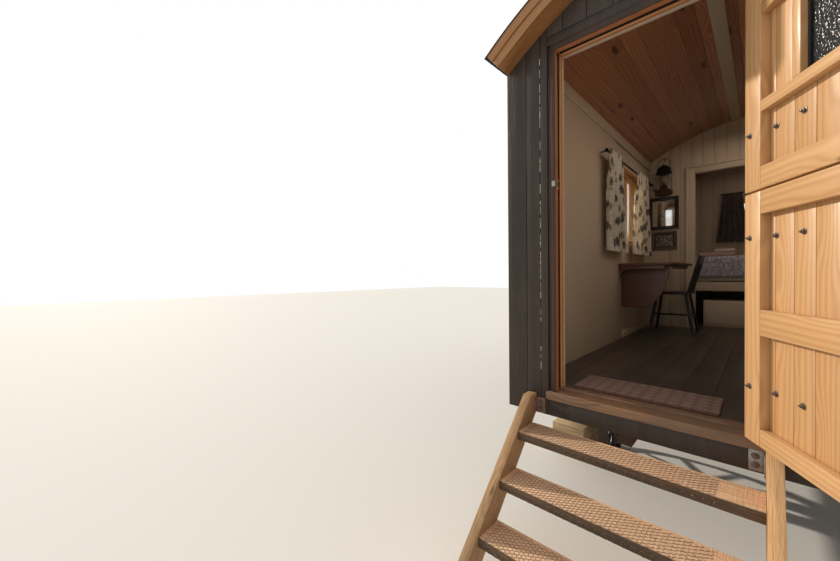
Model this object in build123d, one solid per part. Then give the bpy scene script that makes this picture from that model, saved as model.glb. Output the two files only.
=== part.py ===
"""Shepherd's hut with a stable door, open steps and a barrel roof.

Millimetres.  X runs across the hut (to the right for someone facing the door), Y runs into the hut
from the outer face of the front wall and Z runs up from the ground.
"""
import os
from math import asin, atan2, degrees, radians, sqrt, tan

from build123d import *

os.makedirs("parts", exist_ok=True)

# driving dimensions

# levels
FIRST_DROP = 203            # floor down to the first tread
RISE = 192                  # tread to tread and last tread to ground
TREAD_COUNT = 3
FLOOR_TOP = FIRST_DROP + RISE * TREAD_COUNT
WALL_DROP = 160             # walls reach this far below the floor
WALL_FOOT = FLOOR_TOP - WALL_DROP

# body
HALF_WIDTH = 1180
LENGTH = 5450
WALL = 105
INNER_HALF = HALF_WIDTH - WALL
PARTITION_Y = 3300
PARTITION_T = 60
BED_TO_PARTITION = 260

# barrel roof, all arcs share one axis
CEILING_R = 1925
ROOF_CORE = 50
ROOF_SHEET = 14
SHEET_LAP = 6
SHEET_DRIP = 17             # how far the sheet laps past the eaves
BARGE_DEPTH = 113
BARGE_STEP = 8              # outer strip stands proud of the inner one
BARGE_T = 26
SOFFIT_T = 20
EAVE_OUT = 60               # bargeboard tips beyond the side walls
EAVE_CAP = 17
OVERHANG = 134

# doorway, measured from the left wall's outer face
DOOR_IN = 302
DOOR_CLEAR = 851
JAMB_T = 43
JAMB_FACE = 24              # flat front of a jamb beside the reveal
JAMB_GROOVE = 12
DOOR_HEIGHT = 1930
HEAD_T = 38
HEAD_TO_PLATE = 83          # ceiling meets the side walls this far above the door head
STOP_W = 13
STOP_Y = 56
STOP_HEAD = 14
SILL_NOSE = 20
SILL_HORN = 9
SILL_T = 62
SILL_REBATE = 12
SILL_FALL = 4
BEAM_T = 45
BEAM_H = 98

# door leaves
LEAF_T = 50
BOARD_T = 18
HINGE_GAP = 5
LATCH_GAP = 8
LEAF_DROP = 7               # lower leaf hangs below the floor in front of the sill's rebate
LOWER_LEAF_TOP = 968
MEETING_GAP = 8
HEAD_GAP = 6
STILE = 90
LOWER_FOOT_RAIL = 67
LOCK_RAIL_LOW = 418
LOCK_RAIL_HIGH = 517
LOWER_TOP_RAIL = 88
UPPER_FOOT_RAIL = 84
UPPER_TOP_RAIL = 89
PANE_OVER_MEETING = 330
PANE_UNDER_TOP = 294
PANE_RAIL = 41
PANE_BAR = 36
PANE_IN = 244               # leaf window measured from each edge of the leaf
PANE_T = 6
PANE_LIP = 4                # pane's inner face behind the boards
DOOR_OPEN = 119.4
PIN_OUT = 12
PIN_R = 8
STRAP_T = 4
STRAP_W = 38
STRAP_LEN = 420
STRAP_FROM_FOOT = 217       # strap middles measured from each leaf's ends
STRAP_FROM_MEETING = 173
UPPER_STRAP_FROM_MEETING = 219
STRAP_FROM_TOP = 159
EYE_HALF = 9
EYE_CUT = 10
NECK = 6
PLATE_W = 41
PLATE_HALF = 36
KNUCKLE_LOW = 15
KNUCKLE_HIGH = 34

# steps
STRINGER_T = 50
STRINGER_OUT = 115          # left stringer's inner face beyond the reveal
STRINGER_RIGHT_OUT = 8
STRINGER_DROP = 44          # stringer tops below the floor
STRINGER_TOP_OUT = 74
STRINGER_SLOPE = 44.6
STRINGER_CUT = 176          # width of a stringer measured along the ground
TREAD_T = 43
TREAD_DEPTH = 174
TREAD_GOING = 190
TREAD_FIRST_BACK = 58
HOUSING = 12
BRACKET_ARM = 58
BRACKET_T = 5
BRACKET_H = 85

# running gear
WHEEL_R = 265
WHEEL_W = 70
WHEEL_IN = 280              # wheel's middle inside the wall's outer face
RIM_T = 22
FLANGE_T = 44
FLANGE_W = 22
HUB_R = 58
HUB_BOSS = 42
HUB_OUT = 15
BORE_R = 25
BORE_PLAY = 0.3
SPOKE_COUNT = 10
SPOKE_W = 30
SPOKE_T = 16
AXLE_S = 60
AXLE_END_GAP = 17
AXLE_STUB = 34
NUT_R = 38
NUT_T = 20
AXLE_IN = 1150              # axles measured from the end walls
BOLSTER_W = 120
BOLSTER_OUT = 90
RAIL_IN = 620               # rails inside the wall's outer face
RAIL_W = 70
RAIL_H = 100
RAIL_END = 120
JOIST_W = 70
JOIST_COUNT = 8
DECK_T = 35

# timber packing under the side walls
BAULK = 120
BAULK_LEN = 480
BAULK_GAP = 5
PACK_IN = 820               # near end of a stack measured from the end walls
PACK_OUT = 80               # stacks stand out beyond the side walls

# windows
WINDOW_TO_PARTITION = 1020
WINDOW_W = 800
WINDOW_SILL = 960
WINDOW_TO_PLATE = 331
REAR_WINDOW_HALF = 290
REAR_WINDOW_SILL = 1200
REAR_WINDOW_H = 560
WINDOW_STILE = 45
WINDOW_MULLION = 40
WINDOW_LAP = 40
WINDOW_LAP_T = 14

# partition doorway
BED_DOOR_IN = 469           # doorway measured from the walls' inner faces
BED_DOOR_TO_PLATE = 215
ARCHITRAVE_W = 88
ARCHITRAVE_T = 18

# linings
COVE_H = 90
COVE_T = 20
BATTEN_IN = 205
BATTEN_OUT = 285
BATTEN_T = 16
PANEL_T = 12
PANEL_TO_WINDOW = 260

# table
TABLE_HEIGHT = 762
TABLE_T = 25
TABLE_W = 495
TABLE_CORNER = 90
TABLE_GAP = 4
TABLE_TO_PARTITION = 350
LEAF_BACK = 77              # hanging leaf stops short of the table's long edge
TABLE_LEAF_DROP = 415
TABLE_LEAF_T = 20
TABLE_LEAF_IN = 24
TABLE_LEAF_FLAT = 0.38      # straight share of the hanging leaf's lower edge
CORBEL_REACH = 240
CORBEL_DROP = 200
CORBEL_NOSE = 30
CORBEL_FOOT = 25
CORBEL_T = 24
CORBEL_IN = 86

# chair
CHAIR_IN = 162              # chair's middle inside the table's long edge
CHAIR_TO_TABLE_END = 150
SEAT_HEIGHT = 430
SEAT_T = 26
SEAT_HALF = 180
SEAT_CORNER = 50
LEG_TOP = 130
LEG_FOOT_X = 195
LEG_FOOT_Y = 185
LEG_R = 15
STRETCHER_HEIGHT = 200
STRETCHER_HALF = 165
STRETCHER_R = 9
CROSS_R = 8
BACK_IN = 150
BACK_LEAN = 100
BACK_HEIGHT = 385
BACK_POST_R = 13
BACK_SPREAD = 15
SPINDLE_STEP = 75
SPINDLE_R = 8
BACK_RAIL_W = 370
BACK_RAIL_H = 90
BACK_RAIL_T = 20

# bed
BED_GAP = 5
BED_RAIL_LOW = 436
BED_RAIL_HIGH = 545
DRAWERS_HALF = 560
DRAWERS_H = 318
DRAWERS_DEPTH = 595
POST = 60
MATTRESS_HEIGHT = 740
MATTRESS_IN = 20
DUVET_HEIGHT = 862
DUVET_HEM = 622
DUVET_FRONT = 18
DUVET_IN = 30
DUVET_BACK = 60
DUVET_NOSE = 40
TOWELS_LEFT = -650
TOWELS_RIGHT = -300
TOWELS_IN = 60
TOWELS_D = 280
TOWELS_H = 88

# curtains
ROD_TO_PLATE = 251
ROD_OFF = 70
ROD_R = 9
ROD_ARM = 8
ROD_ARM_IN = 15
ROD_NEAR = 900              # rod and curtain ends measured from the window's middle
ROD_FAR = 760
NEAR_CURTAIN_START = 870
NEAR_CURTAIN_END = 80
FAR_CURTAIN_START = 100
FAR_CURTAIN_END = 720
CURTAIN_BELOW_SILL = 92
CURTAIN_HALF = 28
REAR_ROD_OVER_WINDOW = 120
REAR_ROD_OFF = 50
REAR_ROD_HALF = 600
REAR_CURTAIN_IN = 250
REAR_CURTAIN_OUT = 560
REAR_CURTAIN_BELOW_SILL = 65
REAR_CURTAIN_HALF = 24

# things on the partition, measured from the left wall's inner face
MIRROR_IN = 25
MIRROR_W = 279
MIRROR_LOW = 1200
MIRROR_H = 437
MIRROR_T = 22
PICTURE_IN = 30
PICTURE_W = 264
PICTURE_LOW = 944
PICTURE_H = 243
PICTURE_T = 18
LAMP_IN = 175
LAMP_OUT = 110
LAMP_HOOK_R = 6
LAMP_TO_CEILING = 95        # bracket below the ceiling
LAMP_HANGER = 100
LAMP_HOOD_H = 80
LAMP_HOOD_R = 70
LAMP_GLASS_H = 180
LAMP_GLASS_R = 35
LAMP_FONT_H = 80
LAMP_FONT_R = 60

# mat inside the door
MAT_IN = 56
MAT_W = 651
MAT_D = 282
MAT_T = 16
MAT_GAP = 3

# values that follow

PLATE = FLOOR_TOP + DOOR_HEIGHT + HEAD_T + HEAD_TO_PLATE
ARC_Z = PLATE - sqrt(CEILING_R ** 2 - INNER_HALF ** 2)
BARGE_R_OUT = CEILING_R + ROOF_CORE
BARGE_R_IN = BARGE_R_OUT - BARGE_DEPTH
ROOF_HALF_ANGLE = degrees(asin((HALF_WIDTH + EAVE_OUT) / BARGE_R_OUT))
WALL_TOP = ARC_Z + CEILING_R

REVEAL_LEFT = DOOR_IN - HALF_WIDTH
REVEAL_RIGHT = REVEAL_LEFT + DOOR_CLEAR
FRAME_LEFT = REVEAL_LEFT - JAMB_T
FRAME_RIGHT = REVEAL_RIGHT + JAMB_T
HEAD_REVEAL = FLOOR_TOP + DOOR_HEIGHT
FRAME_TOP = HEAD_REVEAL + HEAD_T
BEAM_TOP = FLOOR_TOP - SILL_T

LEAF_BOTTOM = FLOOR_TOP - LEAF_DROP
LOWER_TOP = FLOOR_TOP + LOWER_LEAF_TOP
UPPER_BOTTOM = LOWER_TOP + MEETING_GAP
UPPER_TOP = HEAD_REVEAL - HEAD_GAP
LEAF_RIGHT = REVEAL_RIGHT - HINGE_GAP
LEAF_LEFT = REVEAL_LEFT + LATCH_GAP
PIN_X = REVEAL_RIGHT - HINGE_GAP / 2
PIN_Y = -PIN_OUT

STRINGER_LEFT_INNER = REVEAL_LEFT - STRINGER_OUT
STRINGER_RIGHT_INNER = REVEAL_RIGHT + STRINGER_RIGHT_OUT
STRINGER_TOP = FLOOR_TOP - STRINGER_DROP
SLOPE = tan(radians(STRINGER_SLOPE))
STRINGER_FOOT_FRONT = -STRINGER_TOP_OUT - STRINGER_TOP / SLOPE
STRINGER_FOOT_BACK = STRINGER_FOOT_FRONT + STRINGER_CUT
PLAN_MID_Y = (STRINGER_FOOT_FRONT + LENGTH + OVERHANG + SHEET_LAP) / 2

WHEEL_X = HALF_WIDTH - WHEEL_IN
RAIL_X = HALF_WIDTH - RAIL_IN
RAIL_TOP = WALL_FOOT
RAIL_BOTTOM = RAIL_TOP - RAIL_H
AXLE_Z = WHEEL_R
JOIST_TOP = FLOOR_TOP - DECK_T
AXLE_PLACES = (AXLE_IN, LENGTH - AXLE_IN)

WINDOW_Y = PARTITION_Y - WINDOW_TO_PARTITION
WINDOW_Z = FLOOR_TOP + WINDOW_SILL
WINDOW_H = PLATE - WINDOW_TO_PLATE - WINDOW_Z
REAR_WINDOW_Z = FLOOR_TOP + REAR_WINDOW_SILL
BED_DOOR_HALF = INNER_HALF - BED_DOOR_IN
BED_DOOR_HEAD = PLATE - BED_DOOR_TO_PLATE


# helpers

def block(x0, x1, y0, y1, z0, z1):
    """Solid box between two corners."""
    centre = ((x0 + x1) / 2, (y0 + y1) / 2, (z0 + z1) / 2)
    return Pos(*centre) * Box(abs(x1 - x0), abs(y1 - y0), abs(z1 - z0))


def arc_band(r_in, r_out, half_angle, y0, y1):
    """Curved band about the roof's axis, from y0 to y1."""
    start = 90 - half_angle
    outer = CenterArc((0, 0), r_out, start, 2 * half_angle)
    inner = CenterArc((0, 0), r_in, start, 2 * half_angle)
    sides = [Line(outer @ 0, inner @ 0), Line(outer @ 1, inner @ 1)]
    face = make_face([outer, inner] + sides)
    plane = Plane(origin=(0, y1, ARC_Z), x_dir=(1, 0, 0), z_dir=(0, -1, 0))
    return extrude(plane * face, amount=y1 - y0)


def under_roof(radius, y0, y1):
    """Everything below an arc of the roof, as a cutting shape."""
    return Pos(0, (y0 + y1) / 2, ARC_Z) * Rot(90, 0, 0) * Cylinder(radius, abs(y1 - y0))


def ceiling_at(x):
    """Height of the ceiling at a distance from the middle of the hut."""
    return ARC_Z + sqrt(CEILING_R ** 2 - x ** 2)


def rod_x(x0, x1, y, z, radius):
    """Round bar along X."""
    return Pos((x0 + x1) / 2, y, z) * Rot(0, 90, 0) * Cylinder(radius, x1 - x0)


def rod_y(y0, y1, x, z, radius):
    """Round bar along Y."""
    return Pos(x, (y0 + y1) / 2, z) * Rot(90, 0, 0) * Cylinder(radius, y1 - y0)


def rod_z(z0, z1, x, y, radius):
    """Round bar along Z."""
    return Pos(x, y, (z0 + z1) / 2) * Cylinder(radius, z1 - z0)


def strut(start, end, radius):
    """Round bar between two points."""
    a = Vector(*start)
    b = Vector(*end)
    plane = Plane(origin=a, z_dir=b - a)
    return extrude(plane * Circle(radius), amount=(b - a).length)


def side_profile(points, x0, x1):
    """Solid from a closed outline of (y, z) points, from x0 to x1."""
    outline = Polyline(*points, close=True)
    plane = Plane(origin=(x0, 0, 0), x_dir=(0, 1, 0), z_dir=(1, 0, 0))
    return extrude(plane * make_face(outline), amount=x1 - x0)


def save(name, *solids):
    """Write one node about the middle of the plan; several solids stay separate bodies."""
    placed = [Pos(0, -PLAN_MID_Y, 0) * solid for solid in solids]
    shape = placed[0] if len(placed) == 1 else Compound(children=placed)
    export_step(shape, f"parts/{name}.step")


def opened(solid):
    """Turn a leaf piece from closed to the open rest pose about the hinge pin."""
    return Pos(PIN_X, PIN_Y, 0) * Rot(0, 0, DOOR_OPEN) * Pos(-PIN_X, -PIN_Y, 0) * solid


# running gear

def wheel(side, y):
    """Cast wheel with a flanged rim, stepped hub and tapered spokes, standing on the ground."""
    centre = Pos(side * WHEEL_X, y, WHEEL_R) * Rot(0, 90, 0)
    rim = Cylinder(WHEEL_R, WHEEL_W) - Cylinder(WHEEL_R - RIM_T, WHEEL_W)
    flange = Cylinder(WHEEL_R - RIM_T / 2, FLANGE_W) - Cylinder(WHEEL_R - FLANGE_T, FLANGE_W)
    body = rim + flange + Cylinder(HUB_R, WHEEL_W) + Cylinder(HUB_BOSS, WHEEL_W + 2 * HUB_OUT)
    inner = HUB_R - RIM_T
    outer = WHEEL_R - FLANGE_T + RIM_T / 2
    outline = Polyline((inner, -SPOKE_W / 2), (outer, -SPOKE_W / 3), (outer, SPOKE_W / 3),
                       (inner, SPOKE_W / 2), close=True)
    spoke = extrude(make_face(outline), amount=SPOKE_T / 2, both=True)
    for i in range(SPOKE_COUNT):
        body += Rot(0, 0, 360 / SPOKE_COUNT * i) * spoke
    body -= Cylinder(BORE_R, WHEEL_W + 3 * HUB_OUT)
    return centre * body


def axle(y):
    """Axle beam with turned ends for the wheels and a nut outside each hub."""
    inner = WHEEL_X - WHEEL_W / 2 - AXLE_END_GAP
    hub_end = WHEEL_X + WHEEL_W / 2 + HUB_OUT
    beam = block(-inner, inner, y - AXLE_S / 2, y + AXLE_S / 2, AXLE_Z - AXLE_S / 2, AXLE_Z + AXLE_S / 2)
    beam += rod_x(-hub_end - AXLE_STUB, hub_end + AXLE_STUB, y, AXLE_Z, BORE_R - BORE_PLAY)
    for side in (-1, 1):
        nut = extrude(RegularPolygon(NUT_R, 6), amount=NUT_T / 2, both=True)
        beam += Pos(side * (hub_end + NUT_T), y, AXLE_Z) * Rot(0, 90, 0) * nut
    return beam


def bolster(y):
    """Timber packer between an axle and the rails."""
    reach = RAIL_X + BOLSTER_OUT
    return block(-reach, reach, y - BOLSTER_W / 2, y + BOLSTER_W / 2, AXLE_Z + AXLE_S / 2, RAIL_BOTTOM)


save("wheels", *[wheel(side, y) for y in AXLE_PLACES for side in (-1, 1)])
save("axles", *[axle(y) for y in AXLE_PLACES])
save("axle_bolsters", *[bolster(y) for y in AXLE_PLACES])
rails = []
for side in (-1, 1):
    x = side * RAIL_X
    rails.append(block(x - RAIL_W / 2, x + RAIL_W / 2, RAIL_END, LENGTH - RAIL_END, RAIL_BOTTOM, RAIL_TOP))
save("chassis_rails", *rails)

joist_step = (LENGTH - 2 * WALL - JOIST_W) / (JOIST_COUNT - 1)
joists = []
for i in range(JOIST_COUNT):
    y = WALL + i * joist_step
    joists.append(block(-INNER_HALF, INNER_HALF, y, y + JOIST_W, WALL_FOOT, JOIST_TOP))
save("floor_joists", *joists)
save("floor_deck", block(-INNER_HALF, INNER_HALF, WALL, LENGTH - WALL, JOIST_TOP, FLOOR_TOP))


def packing(side, near, inward):
    """Stack of two baulks along the hut, three across them and a post under the side wall."""
    outer = side * (HALF_WIDTH + PACK_OUT)
    inner = outer - side * (2 * BAULK + BAULK_GAP)
    far = near + inward * BAULK_LEN
    base = [block(outer - side * BAULK, outer, near, far, 0, BAULK),
            block(inner, inner + side * BAULK, near, far, 0, BAULK)]
    places = [near + inward * i * (BAULK + BAULK_GAP) for i in range(3)]
    middle = [block(inner, outer, y, y + inward * BAULK, BAULK, 2 * BAULK) for y in places]
    wall_x = side * HALF_WIDTH
    post = block(wall_x - side * BAULK, wall_x, places[1], places[1] + inward * BAULK, 2 * BAULK, WALL_FOOT)
    return base, middle, [post]


stack_ends = ((PACK_IN, 1), (LENGTH - PACK_IN, -1))
stacks = [packing(side, near, inward) for side in (-1, 1) for near, inward in stack_ends]
for layer, name in enumerate(("packing_base", "packing_middle", "packing_top")):
    save(name, *[timber for stack in stacks for timber in stack[layer]])


# walls

def under_ceiling(solid, y0, y1):
    """Trim a wall under the roof."""
    return solid & under_roof(CEILING_R, y0 - WALL, y1 + WALL)


def front_wall_piece(x0, x1, z0, z1):
    """Piece of the front wall, trimmed under the roof."""
    return under_ceiling(block(x0, x1, 0, WALL, z0, z1), 0, WALL)


save("front_wall_left", front_wall_piece(-HALF_WIDTH, FRAME_LEFT, WALL_FOOT, WALL_TOP))
save("front_wall_right", front_wall_piece(FRAME_RIGHT, HALF_WIDTH, WALL_FOOT, WALL_TOP))
save("front_wall_head", front_wall_piece(FRAME_LEFT, FRAME_RIGHT, FRAME_TOP, WALL_TOP))


def side_wall(side):
    """Side wall between the end walls with a window hole."""
    body = block(side * INNER_HALF, side * HALF_WIDTH, WALL, LENGTH - WALL, WALL_FOOT, WALL_TOP)
    body = under_ceiling(body, WALL, LENGTH - WALL)
    return body - block(side * (INNER_HALF - 1), side * (HALF_WIDTH + 1), WINDOW_Y - WINDOW_W / 2,
                        WINDOW_Y + WINDOW_W / 2, WINDOW_Z, WINDOW_Z + WINDOW_H)


save("side_wall_left", side_wall(-1))
save("side_wall_right", side_wall(1))
rear = block(-HALF_WIDTH, HALF_WIDTH, LENGTH - WALL, LENGTH, WALL_FOOT, WALL_TOP)
rear = under_ceiling(rear, LENGTH - WALL, LENGTH)
rear -= block(-REAR_WINDOW_HALF, REAR_WINDOW_HALF, LENGTH - WALL - 1, LENGTH + 1, REAR_WINDOW_Z,
              REAR_WINDOW_Z + REAR_WINDOW_H)
save("rear_wall", rear)

partition_back = PARTITION_Y + PARTITION_T
partition = block(-INNER_HALF, INNER_HALF, PARTITION_Y, partition_back, FLOOR_TOP, WALL_TOP)
partition = under_ceiling(partition, PARTITION_Y, partition_back)
partition -= block(-BED_DOOR_HALF, BED_DOOR_HALF, PARTITION_Y - 1, partition_back + 1,
                   FLOOR_TOP, BED_DOOR_HEAD)
save("partition", partition)
architrave_half = BED_DOOR_HALF + ARCHITRAVE_W
architrave = block(-architrave_half, architrave_half, PARTITION_Y - ARCHITRAVE_T, PARTITION_Y,
                   FLOOR_TOP, BED_DOOR_HEAD + ARCHITRAVE_W)
architrave -= block(-BED_DOOR_HALF, BED_DOOR_HALF, PARTITION_Y - 2 * ARCHITRAVE_T, PARTITION_Y + 1,
                    FLOOR_TOP, BED_DOOR_HEAD)
save("bed_door_architrave", architrave)


# roof

save("roof_core", arc_band(CEILING_R, BARGE_R_OUT, ROOF_HALF_ANGLE, 0, LENGTH))
drip_angle = degrees(SHEET_DRIP / BARGE_R_OUT)
save("roof_sheet", arc_band(BARGE_R_OUT, BARGE_R_OUT + ROOF_SHEET, ROOF_HALF_ANGLE + drip_angle,
                            -OVERHANG - SHEET_LAP, LENGTH + OVERHANG + SHEET_LAP))


def bargeboard(face, inward):
    """Curved board in two strips, the outer strip standing proud of the inner one."""
    back = face + inward * BARGE_T
    step = face + inward * BARGE_STEP
    middle = BARGE_R_IN + BARGE_DEPTH / 2
    inner = arc_band(BARGE_R_IN, BARGE_R_OUT, ROOF_HALF_ANGLE, min(step, back), max(step, back))
    return inner + arc_band(middle, BARGE_R_OUT, ROOF_HALF_ANGLE, min(face, back), max(face, back))


def soffit(y0, y1):
    """Curved board under an overhang, turned up at the eaves to close its ends."""
    board = arc_band(BARGE_R_IN, BARGE_R_IN + SOFFIT_T, ROOF_HALF_ANGLE, y0, y1)
    cap_angle = degrees(EAVE_CAP / BARGE_R_OUT)
    shell = arc_band(BARGE_R_IN, BARGE_R_OUT, ROOF_HALF_ANGLE, y0, y1)
    space = arc_band(BARGE_R_IN - 1, BARGE_R_OUT + 1, ROOF_HALF_ANGLE - cap_angle, y0 - 1, y1 + 1)
    return board + (shell - space)


save("bargeboards", bargeboard(-OVERHANG, 1), bargeboard(LENGTH + OVERHANG, -1))
save("soffits", soffit(-OVERHANG + BARGE_T, 0), soffit(LENGTH, LENGTH + OVERHANG - BARGE_T))


# door frame, sill and front beam

def jamb(reveal, side):
    """Jamb with a stop towards the room and a groove in its front face."""
    foot = FLOOR_TOP - SILL_REBATE
    body = block(reveal, reveal + side * JAMB_T, 0, WALL, foot, FRAME_TOP)
    stop = block(reveal, reveal - side * STOP_W, STOP_Y, WALL, FLOOR_TOP, HEAD_REVEAL)
    groove = block(reveal + side * JAMB_FACE, reveal + side * JAMB_T, -1, JAMB_GROOVE, foot, FRAME_TOP)
    return body + stop - groove


save("door_jambs", jamb(REVEAL_LEFT, -1), jamb(REVEAL_RIGHT, 1))
head = block(REVEAL_LEFT, REVEAL_RIGHT, 0, WALL, HEAD_REVEAL, FRAME_TOP)
head += block(REVEAL_LEFT + STOP_W, REVEAL_RIGHT - STOP_W, STOP_Y, WALL,
              HEAD_REVEAL - STOP_HEAD, HEAD_REVEAL)
save("door_head", head)

rebate_z = FLOOR_TOP - SILL_REBATE
sill_left = FRAME_LEFT - SILL_HORN
sill_right = FRAME_RIGHT + SILL_HORN
sill = side_profile(
    [(-SILL_NOSE, BEAM_TOP), (WALL, BEAM_TOP), (WALL, FLOOR_TOP), (STOP_Y, FLOOR_TOP), (STOP_Y, rebate_z),
     (0, rebate_z - SILL_FALL), (-SILL_NOSE, rebate_z - 2 * SILL_FALL)], sill_left, sill_right)
for edge, frame, reveal in ((sill_left - 1, FRAME_LEFT, REVEAL_LEFT),
                            (sill_right + 1, FRAME_RIGHT, REVEAL_RIGHT)):
    sill -= block(edge, frame, 0, WALL + 1, BEAM_TOP - 1, FLOOR_TOP + 1)
    sill -= block(edge, reveal, 0, WALL + 1, rebate_z, FLOOR_TOP + 1)
save("door_sill", sill)
save("front_beam", block(FRAME_LEFT, FRAME_RIGHT, 0, BEAM_T, BEAM_TOP - BEAM_H, BEAM_TOP))


# steps

def tread(i, inset):
    """Tread i counted down from the floor, reaching into the housings by inset."""
    top = FLOOR_TOP - FIRST_DROP - RISE * i
    back = -TREAD_FIRST_BACK - TREAD_GOING * i
    return block(STRINGER_LEFT_INNER - inset, STRINGER_RIGHT_INNER + inset, back - TREAD_DEPTH, back,
                 top - TREAD_T, top)


def stringer(x0, x1):
    """Sloped plank cut plumb at the wall and level at the ground, housed for the treads."""
    body = side_profile(
        [(-STRINGER_TOP_OUT, STRINGER_TOP), (0, STRINGER_TOP), (0, -STRINGER_FOOT_BACK * SLOPE),
         (STRINGER_FOOT_BACK, 0), (STRINGER_FOOT_FRONT, 0)], x0, x1)
    body -= block(sill_left, sill_right, -SILL_NOSE, 1, BEAM_TOP, FLOOR_TOP)
    for i in range(TREAD_COUNT):
        body -= tread(i, HOUSING)
    return body


def bracket(x, side):
    """Steel angle between the front face and a stringer's inner face."""
    top = BEAM_TOP - BRACKET_T
    face = block(x, x + side * BRACKET_ARM, -BRACKET_T, 0, top - BRACKET_H, top)
    return face + block(x, x + side * BRACKET_T, -BRACKET_ARM, 0, top - BRACKET_H, top)


save("step_stringers", stringer(STRINGER_LEFT_INNER - STRINGER_T, STRINGER_LEFT_INNER),
     stringer(STRINGER_RIGHT_INNER, STRINGER_RIGHT_INNER + STRINGER_T))
save("step_treads", *[tread(i, HOUSING) for i in range(TREAD_COUNT)])
save("step_brackets", bracket(STRINGER_LEFT_INNER, 1), bracket(STRINGER_RIGHT_INNER, -1))


# door leaves

def leaf_frame(z0, z1, rails):
    """Stiles and rails behind the boards; rails are (bottom, top) heights."""
    body = block(LEAF_LEFT, LEAF_LEFT + STILE, 0, LEAF_T, z0, z1)
    body += block(LEAF_RIGHT - STILE, LEAF_RIGHT, 0, LEAF_T, z0, z1)
    for low, high in rails:
        body += block(LEAF_LEFT + STILE, LEAF_RIGHT - STILE, BOARD_T, LEAF_T, low, high)
    return body


def leaf_boards(z0, z1):
    """Boards between the stiles."""
    return block(LEAF_LEFT + STILE, LEAF_RIGHT - STILE, 0, BOARD_T, z0, z1)


pane_low = UPPER_BOTTOM + PANE_OVER_MEETING
pane_high = UPPER_TOP - PANE_UNDER_TOP
lower_rails = ((LEAF_BOTTOM, LEAF_BOTTOM + LOWER_FOOT_RAIL),
               (FLOOR_TOP + LOCK_RAIL_LOW, FLOOR_TOP + LOCK_RAIL_HIGH),
               (LOWER_TOP - LOWER_TOP_RAIL, LOWER_TOP))
upper_rails = ((UPPER_BOTTOM, UPPER_BOTTOM + UPPER_FOOT_RAIL), (pane_low - PANE_RAIL, pane_low),
               (pane_high, pane_high + PANE_RAIL), (UPPER_TOP - UPPER_TOP_RAIL, UPPER_TOP))
pane_left = LEAF_LEFT + PANE_IN + PANE_BAR
pane_right = LEAF_RIGHT - PANE_IN - PANE_BAR
pane_back = BOARD_T + PANE_LIP

upper_frame = leaf_frame(UPPER_BOTTOM, UPPER_TOP, upper_rails)
for x0 in (pane_left - PANE_BAR, pane_right):
    upper_frame += block(x0, x0 + PANE_BAR, BOARD_T, LEAF_T, pane_low, pane_high)
upper_boards = leaf_boards(UPPER_BOTTOM, UPPER_TOP)
upper_boards -= block(pane_left, pane_right, -1, BOARD_T + 1, pane_low, pane_high)
pane = block(pane_left, pane_right, pane_back - PANE_T, pane_back, pane_low, pane_high)


def strap(z):
    """Strap along the leaf's outer face with an eye round the pin."""
    plate = block(PIN_X - STRAP_LEN, PIN_X, -STRAP_T, 0, z - STRAP_W / 2, z + STRAP_W / 2)
    for side in (-1, 1):
        plate -= block(PIN_X - EYE_CUT, PIN_X + 1, -STRAP_T - 1, 1, z + side * EYE_HALF, z + side * STRAP_W)
    eye = rod_z(z - EYE_HALF, z + EYE_HALF, PIN_X, PIN_Y, PIN_R)
    return plate + block(PIN_X - NECK, PIN_X, PIN_Y, 0, z - EYE_HALF, z + EYE_HALF) + eye


def hinge_plate(z):
    """Plate on the jamb with a knuckle above and below the strap's eye."""
    parts = block(PIN_X + NECK / 2, PIN_X + NECK / 2 + PLATE_W, -STRAP_T, 0, z - PLATE_HALF, z + PLATE_HALF)
    for low, high in ((z - KNUCKLE_HIGH, z - KNUCKLE_LOW), (z + KNUCKLE_LOW, z + KNUCKLE_HIGH)):
        parts += rod_z(low, high, PIN_X, PIN_Y, PIN_R)
        parts += block(PIN_X, PIN_X + NECK, PIN_Y, 0, low, high)
    return parts


lower_straps = (LEAF_BOTTOM + STRAP_FROM_FOOT, LOWER_TOP - STRAP_FROM_MEETING)
upper_straps = (UPPER_BOTTOM + UPPER_STRAP_FROM_MEETING, UPPER_TOP - STRAP_FROM_TOP)
save("lower_leaf_frame", opened(leaf_frame(LEAF_BOTTOM, LOWER_TOP, lower_rails)))
save("lower_leaf_boards", opened(leaf_boards(LEAF_BOTTOM, LOWER_TOP)))
save("lower_leaf_straps", *[opened(strap(z)) for z in lower_straps])
save("upper_leaf_frame", opened(upper_frame))
save("upper_leaf_boards", opened(upper_boards))
save("upper_leaf_glass", opened(pane))
save("upper_leaf_straps", *[opened(strap(z)) for z in upper_straps])
save("hinge_plates", *[hinge_plate(z) for z in lower_straps + upper_straps])


# windows

def window_lights(width):
    """The two clear widths either side of the middle bar."""
    half = width / 2
    return ((-half + WINDOW_STILE, -WINDOW_MULLION / 2), (WINDOW_MULLION / 2, half - WINDOW_STILE))


def window_frame(width, height):
    """Frame with a middle bar, lapping the lining; local x along the wall, y into the wall."""
    half = width / 2
    body = block(-half, half, 0, WALL, 0, height)
    body += block(-half - WINDOW_LAP, half + WINDOW_LAP, -WINDOW_LAP_T, 0, -WINDOW_LAP, height + WINDOW_LAP)
    for x0, x1 in window_lights(width):
        body -= block(x0, x1, -WINDOW_LAP_T - 1, WALL + 1, WINDOW_STILE, height - WINDOW_STILE)
    return body


def window_panes(width, height):
    """Panes in the middle of the frame."""
    low = (WALL - PANE_T) / 2
    return [block(x0, x1, low, low + PANE_T, WINDOW_STILE, height - WINDOW_STILE)
            for x0, x1 in window_lights(width)]


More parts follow.
